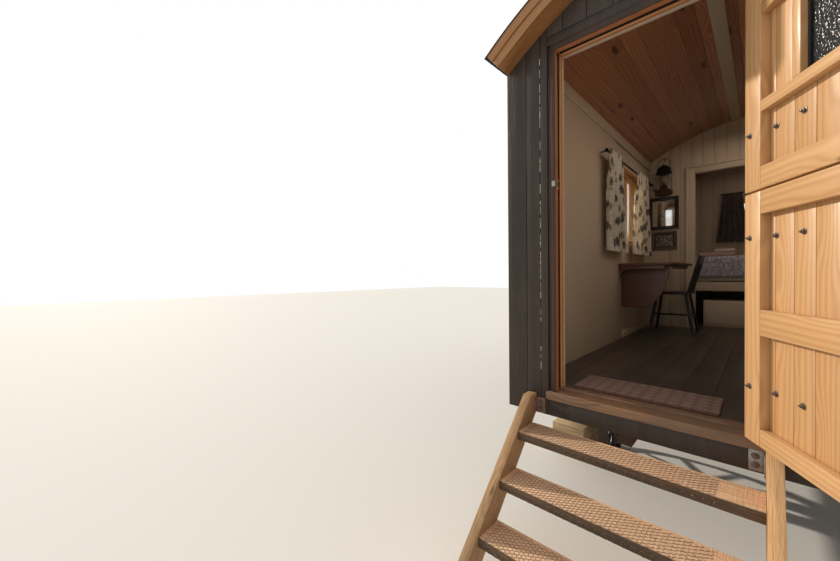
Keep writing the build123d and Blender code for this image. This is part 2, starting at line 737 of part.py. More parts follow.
window_places = []
for side in (-1, 1):
    place = Pos(side * INNER_HALF, WINDOW_Y, WINDOW_Z) * Rot(0, 0, -side * 90)
    window_places.append((place, WINDOW_W, WINDOW_H))
window_places.append((Pos(0, LENGTH - WALL, REAR_WINDOW_Z), 2 * REAR_WINDOW_HALF, REAR_WINDOW_H))
save("window_frames", *[place * window_frame(w, h) for place, w, h in window_places])
save("window_glass", *[place * pane for place, w, h in window_places for pane in window_panes(w, h)])


# linings

coves = []
for side in (-1, 1):
    cove = block(side * INNER_HALF, side * (INNER_HALF - COVE_T), WALL, PARTITION_Y, PLATE - COVE_H,
                 PLATE + COVE_T)
    coves.append(cove & under_roof(CEILING_R, WALL, PARTITION_Y))
save("cove_battens", *coves)
ceiling_battens = []
for side in (-1, 1):
    skin = under_roof(CEILING_R, WALL, PARTITION_Y)
    skin -= under_roof(CEILING_R - BATTEN_T, WALL - 1, PARTITION_Y + 1)
    strip = block(side * BATTEN_IN, side * BATTEN_OUT, WALL, PARTITION_Y, PLATE, WALL_TOP)
    ceiling_battens.append(skin & strip)
save("ceiling_battens", *ceiling_battens)

# wall panel beside the door
panel_end = WINDOW_Y - PANEL_TO_WINDOW
panel = block(-INNER_HALF, -INNER_HALF + PANEL_T, WALL, panel_end, FLOOR_TOP, PLATE - COVE_H)
panel -= block(-INNER_HALF - 1, -INNER_HALF + PANEL_T + 1, WINDOW_Y - WINDOW_W / 2 - WINDOW_LAP,
               panel_end + 1, WINDOW_Z - WINDOW_LAP, PLATE)
save("lining_panel", panel)


# table

table_near = panel_end + TABLE_GAP
table_far = PARTITION_Y - TABLE_TO_PARTITION
table_edge = TABLE_W - INNER_HALF
table_low = FLOOR_TOP + TABLE_HEIGHT - TABLE_T
top_centre = Pos((table_edge - INNER_HALF) / 2, (table_near + table_far) / 2)
top_outline = top_centre * Rectangle(TABLE_W, table_far - table_near)
top_outline = fillet(top_outline.vertices().group_by(Axis.X)[-1], TABLE_CORNER)
save("table_top", Pos(0, 0, table_low) * extrude(top_outline, amount=TABLE_T))


def drop_leaf():
    """Leaf hanging at the near end of the table, its free corner a quarter of an ellipse."""
    x0 = -INNER_HALF + PANEL_T
    reach = table_edge - LEAF_BACK - x0
    flat = reach * TABLE_LEAF_FLAT
    foot = table_low - TABLE_LEAF_DROP
    curve = EllipticalCenterArc((x0 + flat, table_low), reach - flat, TABLE_LEAF_DROP, 270, arc_size=90)
    edges = [Line((x0, table_low), (x0, foot)), Line((x0, foot), curve @ 0), curve,
             Line(curve @ 1, (x0, table_low))]
    plane = Plane(origin=(0, table_near + TABLE_LEAF_IN, 0), x_dir=(1, 0, 0), z_dir=(0, -1, 0))
    return extrude(plane * make_face(edges), amount=TABLE_LEAF_T)


def corbel(y):
    """Curved bracket carrying the table from the wall."""
    x0 = -INNER_HALF
    foot = table_low - CORBEL_DROP
    x1 = x0 + CORBEL_REACH
    arc = EllipticalCenterArc((x1, foot), CORBEL_REACH - CORBEL_FOOT, CORBEL_DROP - CORBEL_NOSE, 90,
                              arc_size=90)
    edges = [Line((x0, table_low), (x1, table_low)), Line((x1, table_low), arc @ 0), arc,
             Line(arc @ 1, (x0, foot)), Line((x0, foot), (x0, table_low))]
    plane = Plane(origin=(0, y, 0), x_dir=(1, 0, 0), z_dir=(0, -1, 0))
    return extrude(plane * make_face(edges), amount=CORBEL_T)


save("table_leaf", drop_leaf())
save("table_brackets", corbel(table_near + CORBEL_IN), corbel(table_far - CORBEL_IN))


# chair beside the table, its back towards the middle of the room

chair_x = table_edge - CHAIR_IN
chair_y = table_far - CHAIR_TO_TABLE_END
seat_z = FLOOR_TOP + SEAT_HEIGHT


def chair_legs():
    """Four splayed legs with two side stretchers and a cross stretcher."""
    legs = []
    for sx in (-1, 1):
        for sy in (-1, 1):
            foot = (chair_x + sx * LEG_FOOT_X, chair_y + sy * LEG_FOOT_Y, FLOOR_TOP - LEG_R)
            top = (chair_x + sx * LEG_TOP, chair_y + sy * LEG_TOP, seat_z + LEG_R)
            legs.append(strut(foot, top, LEG_R))
    z = FLOOR_TOP + STRETCHER_HEIGHT
    for sx in (-1, 1):
        x = chair_x + sx * STRETCHER_HALF
        side_ends = [(x, chair_y + sy * STRETCHER_HALF, z) for sy in (-1, 1)]
        legs.append(strut(side_ends[0], side_ends[1], STRETCHER_R))
    cross_ends = [(chair_x + sx * STRETCHER_HALF, chair_y, z) for sx in (-1, 1)]
    legs.append(strut(cross_ends[0], cross_ends[1], CROSS_R))
    body = legs[0]
    for leg in legs[1:]:
        body += leg
    reach = LEG_FOOT_X + 2 * LEG_R
    return body & block(chair_x - reach, chair_x + reach, chair_y - reach, chair_y + reach,
                        FLOOR_TOP, seat_z)


def chair_back():
    """Leaning back with two posts, spindles and a deep top rail."""
    foot_x = chair_x + BACK_IN
    z0 = seat_z + SEAT_T
    top_x = foot_x + BACK_LEAN
    z1 = z0 + BACK_HEIGHT
    body = None
    for side in (-1, 1):
        foot = (foot_x, chair_y + side * BACK_IN, z0)
        top = (top_x, chair_y + side * (BACK_IN + BACK_SPREAD), z1)
        post = strut(foot, top, BACK_POST_R)
        body = post if body is None else body + post
    for i in (-1, 0, 1):
        y = chair_y + i * SPINDLE_STEP
        body += strut((foot_x, y, z0), (top_x, y, z1), SPINDLE_R)
    lean = degrees(atan2(BACK_LEAN, BACK_HEIGHT))
    down = BACK_RAIL_H / 2
    rail_centre = Pos(top_x - down * BACK_LEAN / BACK_HEIGHT, chair_y, z1 - down)
    body += rail_centre * Rot(0, lean, 0) * Box(BACK_RAIL_T, BACK_RAIL_W, BACK_RAIL_H)
    reach = BACK_RAIL_W
    return body - block(foot_x - reach, foot_x + reach, chair_y - reach, chair_y + reach,
                        z0 - 2 * BACK_POST_R, z0)


seat_outline = fillet(Rectangle(2 * SEAT_HALF, 2 * SEAT_HALF).vertices(), SEAT_CORNER)
save("chair_seat", Pos(chair_x, chair_y, seat_z) * extrude(seat_outline, amount=SEAT_T))
save("chair_legs", chair_legs())
save("chair_back", chair_back())


# bed across the far end

bed_y = partition_back + BED_TO_PARTITION
bed_back = LENGTH - WALL - BED_GAP
bed_half = INNER_HALF - BED_GAP
rail_low = FLOOR_TOP + BED_RAIL_LOW
rail_high = FLOOR_TOP + BED_RAIL_HIGH
drawers_y = bed_y + BED_GAP
save("bed_drawers", block(-DRAWERS_HALF, DRAWERS_HALF, drawers_y, drawers_y + DRAWERS_DEPTH,
                          FLOOR_TOP, FLOOR_TOP + DRAWERS_H))
save("bed_base", block(-bed_half, bed_half, bed_y, bed_back, rail_low, rail_high))
bed_posts = []
for side in (-1, 1):
    for y in (bed_y + POST / 2, bed_back - POST - POST / 2):
        bed_posts.append(block(side * bed_half, side * (bed_half - POST), y, y + POST,
                               FLOOR_TOP, rail_low))
save("bed_posts", *bed_posts)
mattress_y = bed_y + DUVET_FRONT + BED_GAP
mattress_top = FLOOR_TOP + MATTRESS_HEIGHT
duvet_top = FLOOR_TOP + DUVET_HEIGHT
duvet_y = bed_y + BED_GAP
mattress_half = bed_half - MATTRESS_IN
save("mattress", block(-mattress_half, mattress_half, mattress_y, bed_back - MATTRESS_IN,
                       rail_high, mattress_top))
duvet = side_profile(
    [(duvet_y, FLOOR_TOP + DUVET_HEM), (mattress_y, FLOOR_TOP + DUVET_HEM), (mattress_y, mattress_top),
     (bed_back - DUVET_BACK, mattress_top), (bed_back - DUVET_BACK, duvet_top), (duvet_y, duvet_top)],
    DUVET_IN - bed_half, bed_half - DUVET_IN)
duvet_nose = duvet.edges().filter_by(Axis.X).sort_by(Axis.Z)[-2:]
save("duvet", fillet(duvet_nose, DUVET_NOSE))
towels_y = bed_y + TOWELS_IN
save("towels", block(TOWELS_LEFT, TOWELS_RIGHT, towels_y, towels_y + TOWELS_D,
                     duvet_top, duvet_top + TOWELS_H))


# curtains and rods

rod_height = PLATE - ROD_TO_PLATE
curtain_foot = WINDOW_Z - CURTAIN_BELOW_SILL
rod_near = WINDOW_Y - ROD_NEAR
rod_far = WINDOW_Y + ROD_FAR
rods = []
curtains = []
for side in (-1, 1):
    x = side * (INNER_HALF - ROD_OFF)
    rod = rod_y(rod_near, rod_far, x, rod_height, ROD_R)
    for y in (rod_near + ROD_ARM_IN, rod_far - ROD_ARM_IN):
        rod += block(x, side * INNER_HALF, y - ROD_ARM, y + ROD_ARM,
                     rod_height - ROD_ARM, rod_height + ROD_ARM)
    rods.append(rod - panel)
    for near, far in ((-NEAR_CURTAIN_START, -NEAR_CURTAIN_END), (FAR_CURTAIN_START, FAR_CURTAIN_END)):
        curtains.append(block(x - CURTAIN_HALF, x + CURTAIN_HALF, WINDOW_Y + near, WINDOW_Y + far,
                              curtain_foot, rod_height - ROD_R))
rear_rod_y = LENGTH - WALL - REAR_ROD_OFF
rear_rod_z = REAR_WINDOW_Z + REAR_WINDOW_H + REAR_ROD_OVER_WINDOW
rear_rod = rod_x(-REAR_ROD_HALF, REAR_ROD_HALF, rear_rod_y, rear_rod_z, ROD_R)
rear_curtains = []
for side in (-1, 1):
    x = side * (REAR_ROD_HALF - ROD_ARM)
    rear_rod += block(x - ROD_ARM, x + ROD_ARM, rear_rod_y, LENGTH - WALL,
                      rear_rod_z - ROD_ARM, rear_rod_z + ROD_ARM)
    rear_curtains.append(block(side * REAR_CURTAIN_IN, side * REAR_CURTAIN_OUT,
                               rear_rod_y - REAR_CURTAIN_HALF, rear_rod_y + REAR_CURTAIN_HALF,
                               REAR_WINDOW_Z - REAR_CURTAIN_BELOW_SILL, rear_rod_z - ROD_R))
rods.append(rear_rod)
save("curtain_rods", *rods)
save("curtains", *curtains)
save("rear_curtains", *rear_curtains)


# things on the partition

def hung(left_in, width, low, height, thickness):
    """Flat frame on the partition."""
    x0 = left_in - INNER_HALF
    z0 = FLOOR_TOP + low
    return block(x0, x0 + width, PARTITION_Y - thickness, PARTITION_Y, z0, z0 + height)


save("mirror", hung(MIRROR_IN, MIRROR_W, MIRROR_LOW, MIRROR_H, MIRROR_T))
save("picture", hung(PICTURE_IN, PICTURE_W, PICTURE_LOW, PICTURE_H, PICTURE_T))

lamp_x = LAMP_IN - INNER_HALF
lamp_y = PARTITION_Y - LAMP_OUT
hook_z = ceiling_at(lamp_x) - LAMP_TO_CEILING
lantern = block(lamp_x - LAMP_HOOK_R, lamp_x + LAMP_HOOK_R, lamp_y, PARTITION_Y,
                hook_z - 2 * LAMP_HOOK_R, hook_z)
z = hook_z
for height, radius in ((LAMP_HANGER, LAMP_HOOK_R), (LAMP_HOOD_H, LAMP_HOOD_R),
                       (LAMP_GLASS_H, LAMP_GLASS_R), (LAMP_FONT_H, LAMP_FONT_R)):
    lantern += rod_z(z - height, z, lamp_x, lamp_y, radius)
    z -= height
save("lantern", lantern)

mat_x = REVEAL_LEFT + MAT_IN
mat_y = WALL + MAT_GAP
save("doormat", block(mat_x, mat_x + MAT_W, mat_y, mat_y + MAT_D, FLOOR_TOP, FLOOR_TOP + MAT_T))
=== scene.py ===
"""Looks of a timber hut on wheels: boards, roof, steps, stable door and the room behind it.

Lengths are metres.  X runs across the hut, Y runs into it from the door and Z runs up from the ground.
"""

import logging
import math
from collections.abc import Iterator
from contextlib import contextmanager
from dataclasses import dataclass, replace
from enum import Enum, IntEnum

import bpy
import numpy as np
from mathutils import Matrix, Vector


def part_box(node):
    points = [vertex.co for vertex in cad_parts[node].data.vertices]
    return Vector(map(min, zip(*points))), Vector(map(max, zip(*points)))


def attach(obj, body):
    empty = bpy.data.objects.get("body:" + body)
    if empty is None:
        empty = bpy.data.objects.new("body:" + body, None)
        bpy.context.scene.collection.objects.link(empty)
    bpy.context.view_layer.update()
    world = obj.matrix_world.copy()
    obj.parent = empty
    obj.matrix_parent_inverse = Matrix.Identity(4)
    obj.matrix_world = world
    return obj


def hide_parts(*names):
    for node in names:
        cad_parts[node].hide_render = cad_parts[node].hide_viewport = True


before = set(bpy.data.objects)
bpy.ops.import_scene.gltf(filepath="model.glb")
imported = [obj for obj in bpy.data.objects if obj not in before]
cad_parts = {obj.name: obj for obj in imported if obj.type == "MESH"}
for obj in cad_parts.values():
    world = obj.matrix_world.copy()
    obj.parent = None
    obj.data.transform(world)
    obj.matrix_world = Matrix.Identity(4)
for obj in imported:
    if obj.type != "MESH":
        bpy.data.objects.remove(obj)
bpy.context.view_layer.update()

Colour = tuple[float, float, float]
Point = tuple[float, float, float]
Socket = bpy.types.NodeSocket
Piece = bpy.types.Object

LOG = logging.getLogger("hut")
HUT = "hut"
LOWER = "lower_leaf"
UPPER = "upper_leaf"


class Axis(IntEnum):
    """Directions of the row frame."""

    X = 0
    Y = 1
    Z = 2


# Shader tools


class Graph:
    """Adds nodes to a shader tree and joins them; a plain number stands for a socket's own value."""

    def __init__(self, tree: bpy.types.NodeTree) -> None:
        """Keep the tree that nodes are added to.

        Args:
            tree: The material's or group's node tree.
        """
        self.tree = tree

    def add(self, kind: str, **settings: object) -> bpy.types.Node:
        """Add one node.

        Args:
            kind: Blender's type name of the node.
            **settings: Properties set on the node.

        Returns:
            The new node.
        """
        node = self.tree.nodes.new(kind)
        for key, value in settings.items():
            setattr(node, key, value)
        return node

    def feed(self, socket: Socket, value: object) -> None:
        """Join a value to an input.

        Args:
            socket: The input.
            value: An output socket, a number or a colour.
        """
        if isinstance(value, bpy.types.NodeSocket):
            self.tree.links.new(value, socket)
        elif isinstance(value, tuple) and len(value) == 3 and socket.type == "RGBA":
            socket.default_value = (*value, 1.0)
        else:
            socket.default_value = value

    def fill(self, node: bpy.types.Node, **values: object) -> bpy.types.Node:
        """Feed several inputs of a node.

        Args:
            node: The node.
            **values: Input values by socket name, with spaces written as underscores.

        Returns:
            The same node.
        """
        for key, value in values.items():
            self.feed(node.inputs[key.replace("_", " ")], value)
        return node

    def math(self, operation: str, first: object, second: object = 0.0, clamp: bool = False) -> Socket:
        """Work out one number.

        Args:
            operation: Blender's name of the operation.
            first: First operand.
            second: Second operand.
            clamp: Whether the result is kept from 0 to 1.

        Returns:
            The result's socket.
        """
        node = self.add("ShaderNodeMath", operation=operation, use_clamp=clamp)
        self.feed(node.inputs[0], first)
        self.feed(node.inputs[1], second)
        return node.outputs[0]

    def plus(self, total: object, value: object, weight: object, clamp: bool = False) -> Socket:
        """Add a weighted value to a total."""
        return self.math("ADD", total, self.math("MULTIPLY", value, weight), clamp)

    def lifted(self, wave: Socket) -> Socket:
        """Move a wave from the range -1 to 1 to the range 0 to 1."""
        node = self.add("ShaderNodeMath", operation="MULTIPLY_ADD")
        for socket, value in zip(node.inputs, (wave, 0.5, 0.5)):
            self.feed(socket, value)
        return node.outputs[0]

    def own(self, name: str, output: str) -> Socket:
        """Read one of the piece's own attributes."""
        return self.add("ShaderNodeAttribute", attribute_name=name).outputs[output]

    def object_place(self) -> Socket:
        """Give the coordinates of the object."""
        return self.add("ShaderNodeTexCoord").outputs["Object"]

    def stretch(self, vector: Socket, scale: Point) -> Socket:
        """Scale a vector along each of its directions."""
        node = self.add("ShaderNodeVectorMath", operation="MULTIPLY")
        self.feed(node.inputs[0], vector)
        node.inputs[1].default_value = scale
        return node.outputs[0]

    def split(self, vector: Socket) -> bpy.types.NodeOutputs:
        """Give the three numbers of a vector."""
        node = self.add("ShaderNodeSeparateXYZ")
        self.feed(node.inputs[0], vector)
        return node.outputs

    def noise(self, vector: Socket, scale: object, detail: float = 2.0, rough: float = 0.5) -> Socket:
        """Smooth noise from 0 to 1.

        Args:
            vector: Where the noise is read.
            scale: Size of the pattern, in features a metre.
            detail: Number of finer layers.
            rough: Weight of the finer layers.

        Returns:
            The noise value's socket.
        """
        node = self.add("ShaderNodeTexNoise")
        return self.fill(node, Vector=vector, Scale=scale, Detail=detail, Roughness=rough).outputs[0]

    def cells(self, vector: Socket, scale: object, feature: str = "F1", output: str = "Distance") -> Socket:
        """Cell pattern about scattered points.

        Args:
            vector: Where the pattern is read.
            scale: Cells a metre.
            feature: Blender's name of the measure.
            output: Which output is used.

        Returns:
            The chosen output socket.
        """
        node = self.add("ShaderNodeTexVoronoi", feature=feature)
        return self.fill(node, Vector=vector, Scale=scale).outputs[output]

    def ramp(self, value: Socket, low: float, high: float, bottom: float = 0.0, top: float = 1.0) -> Socket:
        """Map a value smoothly from one range to another, held at the ends.

        Args:
            value: The number that is mapped.
            low: Value that gives bottom.
            high: Value that gives top.
            bottom: Result at low.
            top: Result at high.

        Returns:
            The mapped value's socket.
        """
        node = self.add("ShaderNodeMapRange", interpolation_type="SMOOTHSTEP", clamp=True)
        self.fill(node, Value=value, From_Min=low, From_Max=high, To_Min=bottom, To_Max=top)
        return node.outputs["Result"]

    def mix(self, share: object, first: object, second: object, blend: str = "MIX") -> Socket:
        """Blend two colours.

        Args:
            share: Weight of the second colour.
            first: First colour.
            second: Second colour.
            blend: Blender's blend type.

        Returns:
            The colour's socket.
        """
        node = self.add("ShaderNodeMix", data_type="RGBA", blend_type=blend)
        self.feed(node.inputs[0], share)
        self.feed(node.inputs[6], first)
        self.feed(node.inputs[7], second)
        return node.outputs[2]

    def bump(self, height: Socket, distance: float, strength: float = 1.0) -> Socket:
        """Turn a height into a normal.

        Args:
            height: The height, from 0 to 1.
            distance: Depth of the relief in metres.
            strength: Share of the relief that is used.

        Returns:
            The normal's socket.
        """
        node = self.add("ShaderNodeBump")
        return self.fill(node, Height=height, Distance=distance, Strength=strength).outputs[0]

    def place(self, name: str, **values: object) -> bpy.types.NodeOutputs:
        """Place a node group and set its inputs.

        Args:
            name: Name of the group.
            **values: Input values by socket name, with spaces written as underscores.

        Returns:
            The group's outputs.
        """
        node = self.add("ShaderNodeGroup")
        node.node_tree = bpy.data.node_groups[name]
        return self.fill(node, **values).outputs


def new_group(name: str, inputs: dict[str, object],
              outputs: tuple[str, ...]) -> tuple[Graph, object, object]:
    """Start a node group with named sockets.

    Args:
        name: Name of the group.
        inputs: Socket names with their plain values; None makes a vector.
        outputs: Names of the number outputs.

    Returns:
        The graph, the group's input sockets and its output sockets.
    """
    tree = bpy.data.node_groups.new(name, "ShaderNodeTree")
    for key, value in inputs.items():
        kind = "NodeSocketVector" if value is None else "NodeSocketFloat"
        socket = tree.interface.new_socket(key, in_out="INPUT", socket_type=kind)
        if value is not None:
            socket.default_value = value
    for key in outputs:
        tree.interface.new_socket(key, in_out="OUTPUT", socket_type="NodeSocketFloat")
    graph = Graph(tree)
    return graph, graph.add("NodeGroupInput").outputs, graph.add("NodeGroupOutput").inputs


def make_grain_group() -> None:
    """Wood figure: growth rings, fibres and knots on board coordinates."""
    graph, given, result = new_group(
        "wood_grain", {"Vector": None, "Rings": 60.0, "Flame": 3.0, "Knot Size": 0.12},
        ("Rings", "Fibre", "Knot"))
    board = given["Vector"]
    drift = graph.noise(graph.stretch(board, (0.9, 7.0, 7.0)), 1.0, 1.0)
    distance = graph.cells(graph.stretch(board, (2.3, 7.5, 7.5)), 1.0)
    near = graph.math("SUBTRACT", 1.0, graph.math("DIVIDE", distance, given["Knot Size"]), clamp=True)
    around = graph.ramp(distance, 0.0, 0.5, 1.0, 0.0)
    across = graph.split(board)[1]
    phase = graph.plus(graph.math("MULTIPLY", across, given["Rings"]), drift, given["Flame"])
    phase = graph.plus(phase, around, 2.2)
    wave = graph.math("SINE", graph.math("MULTIPLY", phase, math.tau))
    fine = graph.noise(graph.stretch(board, (5.0, 190.0, 190.0)), 1.0, 3.0, 0.6)
    graph.feed(result["Rings"], graph.math("POWER", graph.lifted(wave), 1.6))
    graph.feed(result["Fibre"], fine)
    graph.feed(result["Knot"], graph.ramp(near, 0.05, 0.6))


def make_weather_group() -> None:
    """Dirt: broad patches, upright streaks and specks on object coordinates."""
    graph, given, result = new_group("weathering", {"Vector": None, "Size": 3.0},
                                     ("Patch", "Streak", "Speck"))
    place = given["Vector"]
    graph.feed(result["Patch"], graph.ramp(graph.noise(place, given["Size"], 4.0, 0.6), 0.35, 0.7))
    streak = graph.noise(graph.stretch(place, (26.0, 26.0, 1.2)), 1.0, 3.0, 0.6)
    graph.feed(result["Streak"], graph.ramp(streak, 0.4, 0.75))
    graph.feed(result["Speck"], graph.ramp(graph.noise(place, 140.0, 2.0, 0.7), 0.58, 0.72))


def make_weave_group() -> None:
    """Woven threads on cloth coordinates, as a height and an uneven tone."""
    graph, given, result = new_group("weave", {"Vector": None, "Threads": 900.0}, ("Height", "Tone"))
    cloth = given["Vector"]
    parts = graph.split(cloth)
    waves = []
    for index in (0, 1):
        turn = graph.math("MULTIPLY", graph.math("MULTIPLY", parts[index], given["Threads"]), math.tau)
        waves.append(graph.math("SINE", turn))
    graph.feed(result["Height"], graph.lifted(graph.math("MULTIPLY", *waves)))
    graph.feed(result["Tone"], graph.noise(cloth, 60.0, 3.0, 0.6))


# Finishes

MADE: dict[str, bpy.types.Material] = {}
PLANED_DEPTH = 0.0006
SAWN_DEPTH = 0.0022


def dimmed(colour: Colour, share: float) -> Colour:
    """Darken a colour evenly."""
    return tuple(share * part for part in colour)


@dataclass(frozen=True)
class Finish:
    """A surface; each kind of finish lays its own nodes."""

    name: str

    def material(self) -> bpy.types.Material:
        """Build the material once."""
        if self.name not in MADE:
            MADE[self.name] = bpy.data.materials.new(self.name)
            MADE[self.name].use_nodes = True
            tree = MADE[self.name].node_tree
            self.lay(Graph(tree), tree.nodes["Principled BSDF"])
        return MADE[self.name]

    def lay(self, graph: Graph, shader: bpy.types.Node) -> None:
        """Add the nodes.

        Args:
            graph: The material's graph.
            shader: Its shader node.
        """
        raise NotImplementedError


@dataclass(frozen=True)
class Plain(Finish):
    """One even colour, for the stage."""

    colour: Colour
    roughness: float

    def lay(self, graph: Graph, shader: bpy.types.Node) -> None:
        """Set the colour and the roughness."""
        graph.fill(shader, Base_Color=self.colour, Roughness=self.roughness)


class GrainFrom(Enum):
    """Where a timber finish reads its board coordinates."""

    BOARD = "board"
    OBJECT = "object"


@dataclass(frozen=True)
class Timber(Finish):
    """Clear-finished or bare wood with rings, fibres and knots."""

    pale: Colour
    deep: Colour
    knot: Colour
    roughness: float = 0.5
    rings: float = 55.0
    flame: float = 3.0
    ring_share: float = 0.5
    fibre_share: float = 0.35
    knot_size: float = 0.12
    tone_share: float = 0.35
    saw_marks: float = 0.0
    dirt: Colour = (0.05, 0.04, 0.03)
    dirt_share: float = 0.0
    coat: float = 0.0
    source: GrainFrom = GrainFrom.BOARD

    def lay(self, graph: Graph, shader: bpy.types.Node) -> None:
        """Add the nodes of the finish."""
        place = graph.object_place()
        if self.source is GrainFrom.BOARD:
            board, tone = graph.own("grain", "Vector"), graph.own("tone", "Fac")
        else:
            mapping = graph.add("ShaderNodeMapping")
            board = graph.fill(mapping, Vector=place, Rotation=(0.0, 0.0, math.pi / 2)).outputs[0]
            tone = graph.noise(place, 1.5, 1.0)
        grain = graph.place("wood_grain", Vector=board, Rings=self.rings, Flame=self.flame,
                            Knot_Size=self.knot_size)
        dirt = graph.place("weathering", Vector=place)
        share = graph.math("MULTIPLY", grain["Rings"], self.ring_share)
        share = graph.plus(share, graph.ramp(grain["Fibre"], 0.3, 0.75), self.fibre_share)
        share = graph.plus(share, tone, self.tone_share, clamp=True)
        colour = graph.mix(share, self.pale, self.deep)
        colour = graph.mix(graph.math("MULTIPLY", grain["Knot"], 0.85), colour, self.knot)
        soil = graph.math("MULTIPLY", graph.math("MAXIMUM", dirt["Patch"], dirt["Speck"]), self.dirt_share)
        rough = graph.ramp(grain["Fibre"], 0.2, 0.8, max(0.05, self.roughness - 0.08),
                           self.roughness + 0.08)
        height = graph.plus(graph.math("MULTIPLY", grain["Fibre"], 0.6), grain["Rings"], 0.25)
        depth = PLANED_DEPTH
        if self.saw_marks:
            marks = graph.noise(graph.stretch(board, (150.0, 9.0, 9.0)), 1.0, 2.0, 0.6)
            coarse = graph.noise(graph.stretch(board, (14.0, 120.0, 120.0)), 1.0, 3.0, 0.7)
            height = graph.plus(graph.plus(height, marks, self.saw_marks), coarse, self.saw_marks * 1.6)
            depth = SAWN_DEPTH
        graph.fill(shader, Base_Color=graph.mix(soil, colour, self.dirt), Roughness=rough,
                   Coat_Weight=self.coat, Coat_Roughness=0.25, Normal=graph.bump(height, depth))


@dataclass(frozen=True)
class Paint(Finish):
    """Brushed paint on boards or plain joinery."""

    colour: Colour
    shade: Colour
    roughness: float = 0.45
    dirt: Colour = (0.12, 0.10, 0.08)
    dirt_share: float = 0.15
    streak_share: float = 0.0
    tone_share: float = 0.25
    grain_depth: float = 0.0004
    gloss: float = 0.5

    def lay(self, graph: Graph, shader: bpy.types.Node) -> None:
        """Add the nodes of the finish."""
        tone = graph.own("tone", "Fac")
        grain = graph.place("wood_grain", Vector=graph.own("grain", "Vector"), Rings=70.0)
        dirt = graph.place("weathering", Vector=graph.object_place())
        brush = graph.ramp(grain["Fibre"], 0.25, 0.8)
        share = graph.plus(graph.math("MULTIPLY", brush, 0.35), tone, self.tone_share)
        colour = graph.mix(graph.math("MINIMUM", share, 1.0), self.colour, self.shade)
        soil = graph.math("MULTIPLY", dirt["Patch"], self.dirt_share)
        soil = graph.plus(soil, dirt["Streak"], self.streak_share, clamp=True)
        rough = graph.ramp(grain["Fibre"], 0.2, 0.8, self.roughness - 0.08, self.roughness + 0.1)
        height = graph.plus(grain["Fibre"], grain["Rings"], 0.5)
        graph.fill(shader, Base_Color=graph.mix(soil, colour, self.dirt), Roughness=rough,
                   Specular_IOR_Level=self.gloss, Normal=graph.bump(height, self.grain_depth))


@dataclass(frozen=True)
class Metal(Finish):
    """Bare, plated, painted or rusty metal."""

    colour: Colour
    rust: Colour = (0.16, 0.06, 0.025)
    rust_share: float = 0.0
    metallic: float = 1.0
    roughness: float = 0.4
    relief: float = 0.0004
    size: float = 9.0

    def lay(self, graph: Graph, shader: bpy.types.Node) -> None:
        """Add the nodes of the finish."""
        place = graph.object_place()
        dirt = graph.place("weathering", Vector=place, Size=self.size)
        grit = graph.noise(place, 320.0, 3.0, 0.6)
        worn = graph.mix(graph.ramp(grit, 0.35, 0.7), self.colour, dimmed(self.colour, 0.72))
        rust = graph.math("MULTIPLY", graph.math("MAXIMUM", dirt["Patch"], dirt["Speck"]), self.rust_share)
        rust_colour = graph.mix(graph.ramp(grit, 0.3, 0.75), self.rust, dimmed(self.rust, 0.45))
        metal = graph.math("MULTIPLY", graph.math("SUBTRACT", 1.0, rust), self.metallic)
        rough = graph.ramp(grit, 0.2, 0.8, self.roughness - 0.07, self.roughness + 0.07)
        height = graph.plus(graph.math("MULTIPLY", grit, 0.4), rust, 0.6)
        graph.fill(shader, Base_Color=graph.mix(rust, worn, rust_colour), Metallic=metal,
                   Roughness=graph.plus(rough, rust, 0.35, clamp=True),
                   Normal=graph.bump(height, self.relief))


class Print(Enum):
    """Patterns on cloth."""

    PLAIN = "plain"
    SPRIG = "sprig"
    SCROLL = "scroll"
    TICKING = "ticking"
    RUG = "rug"


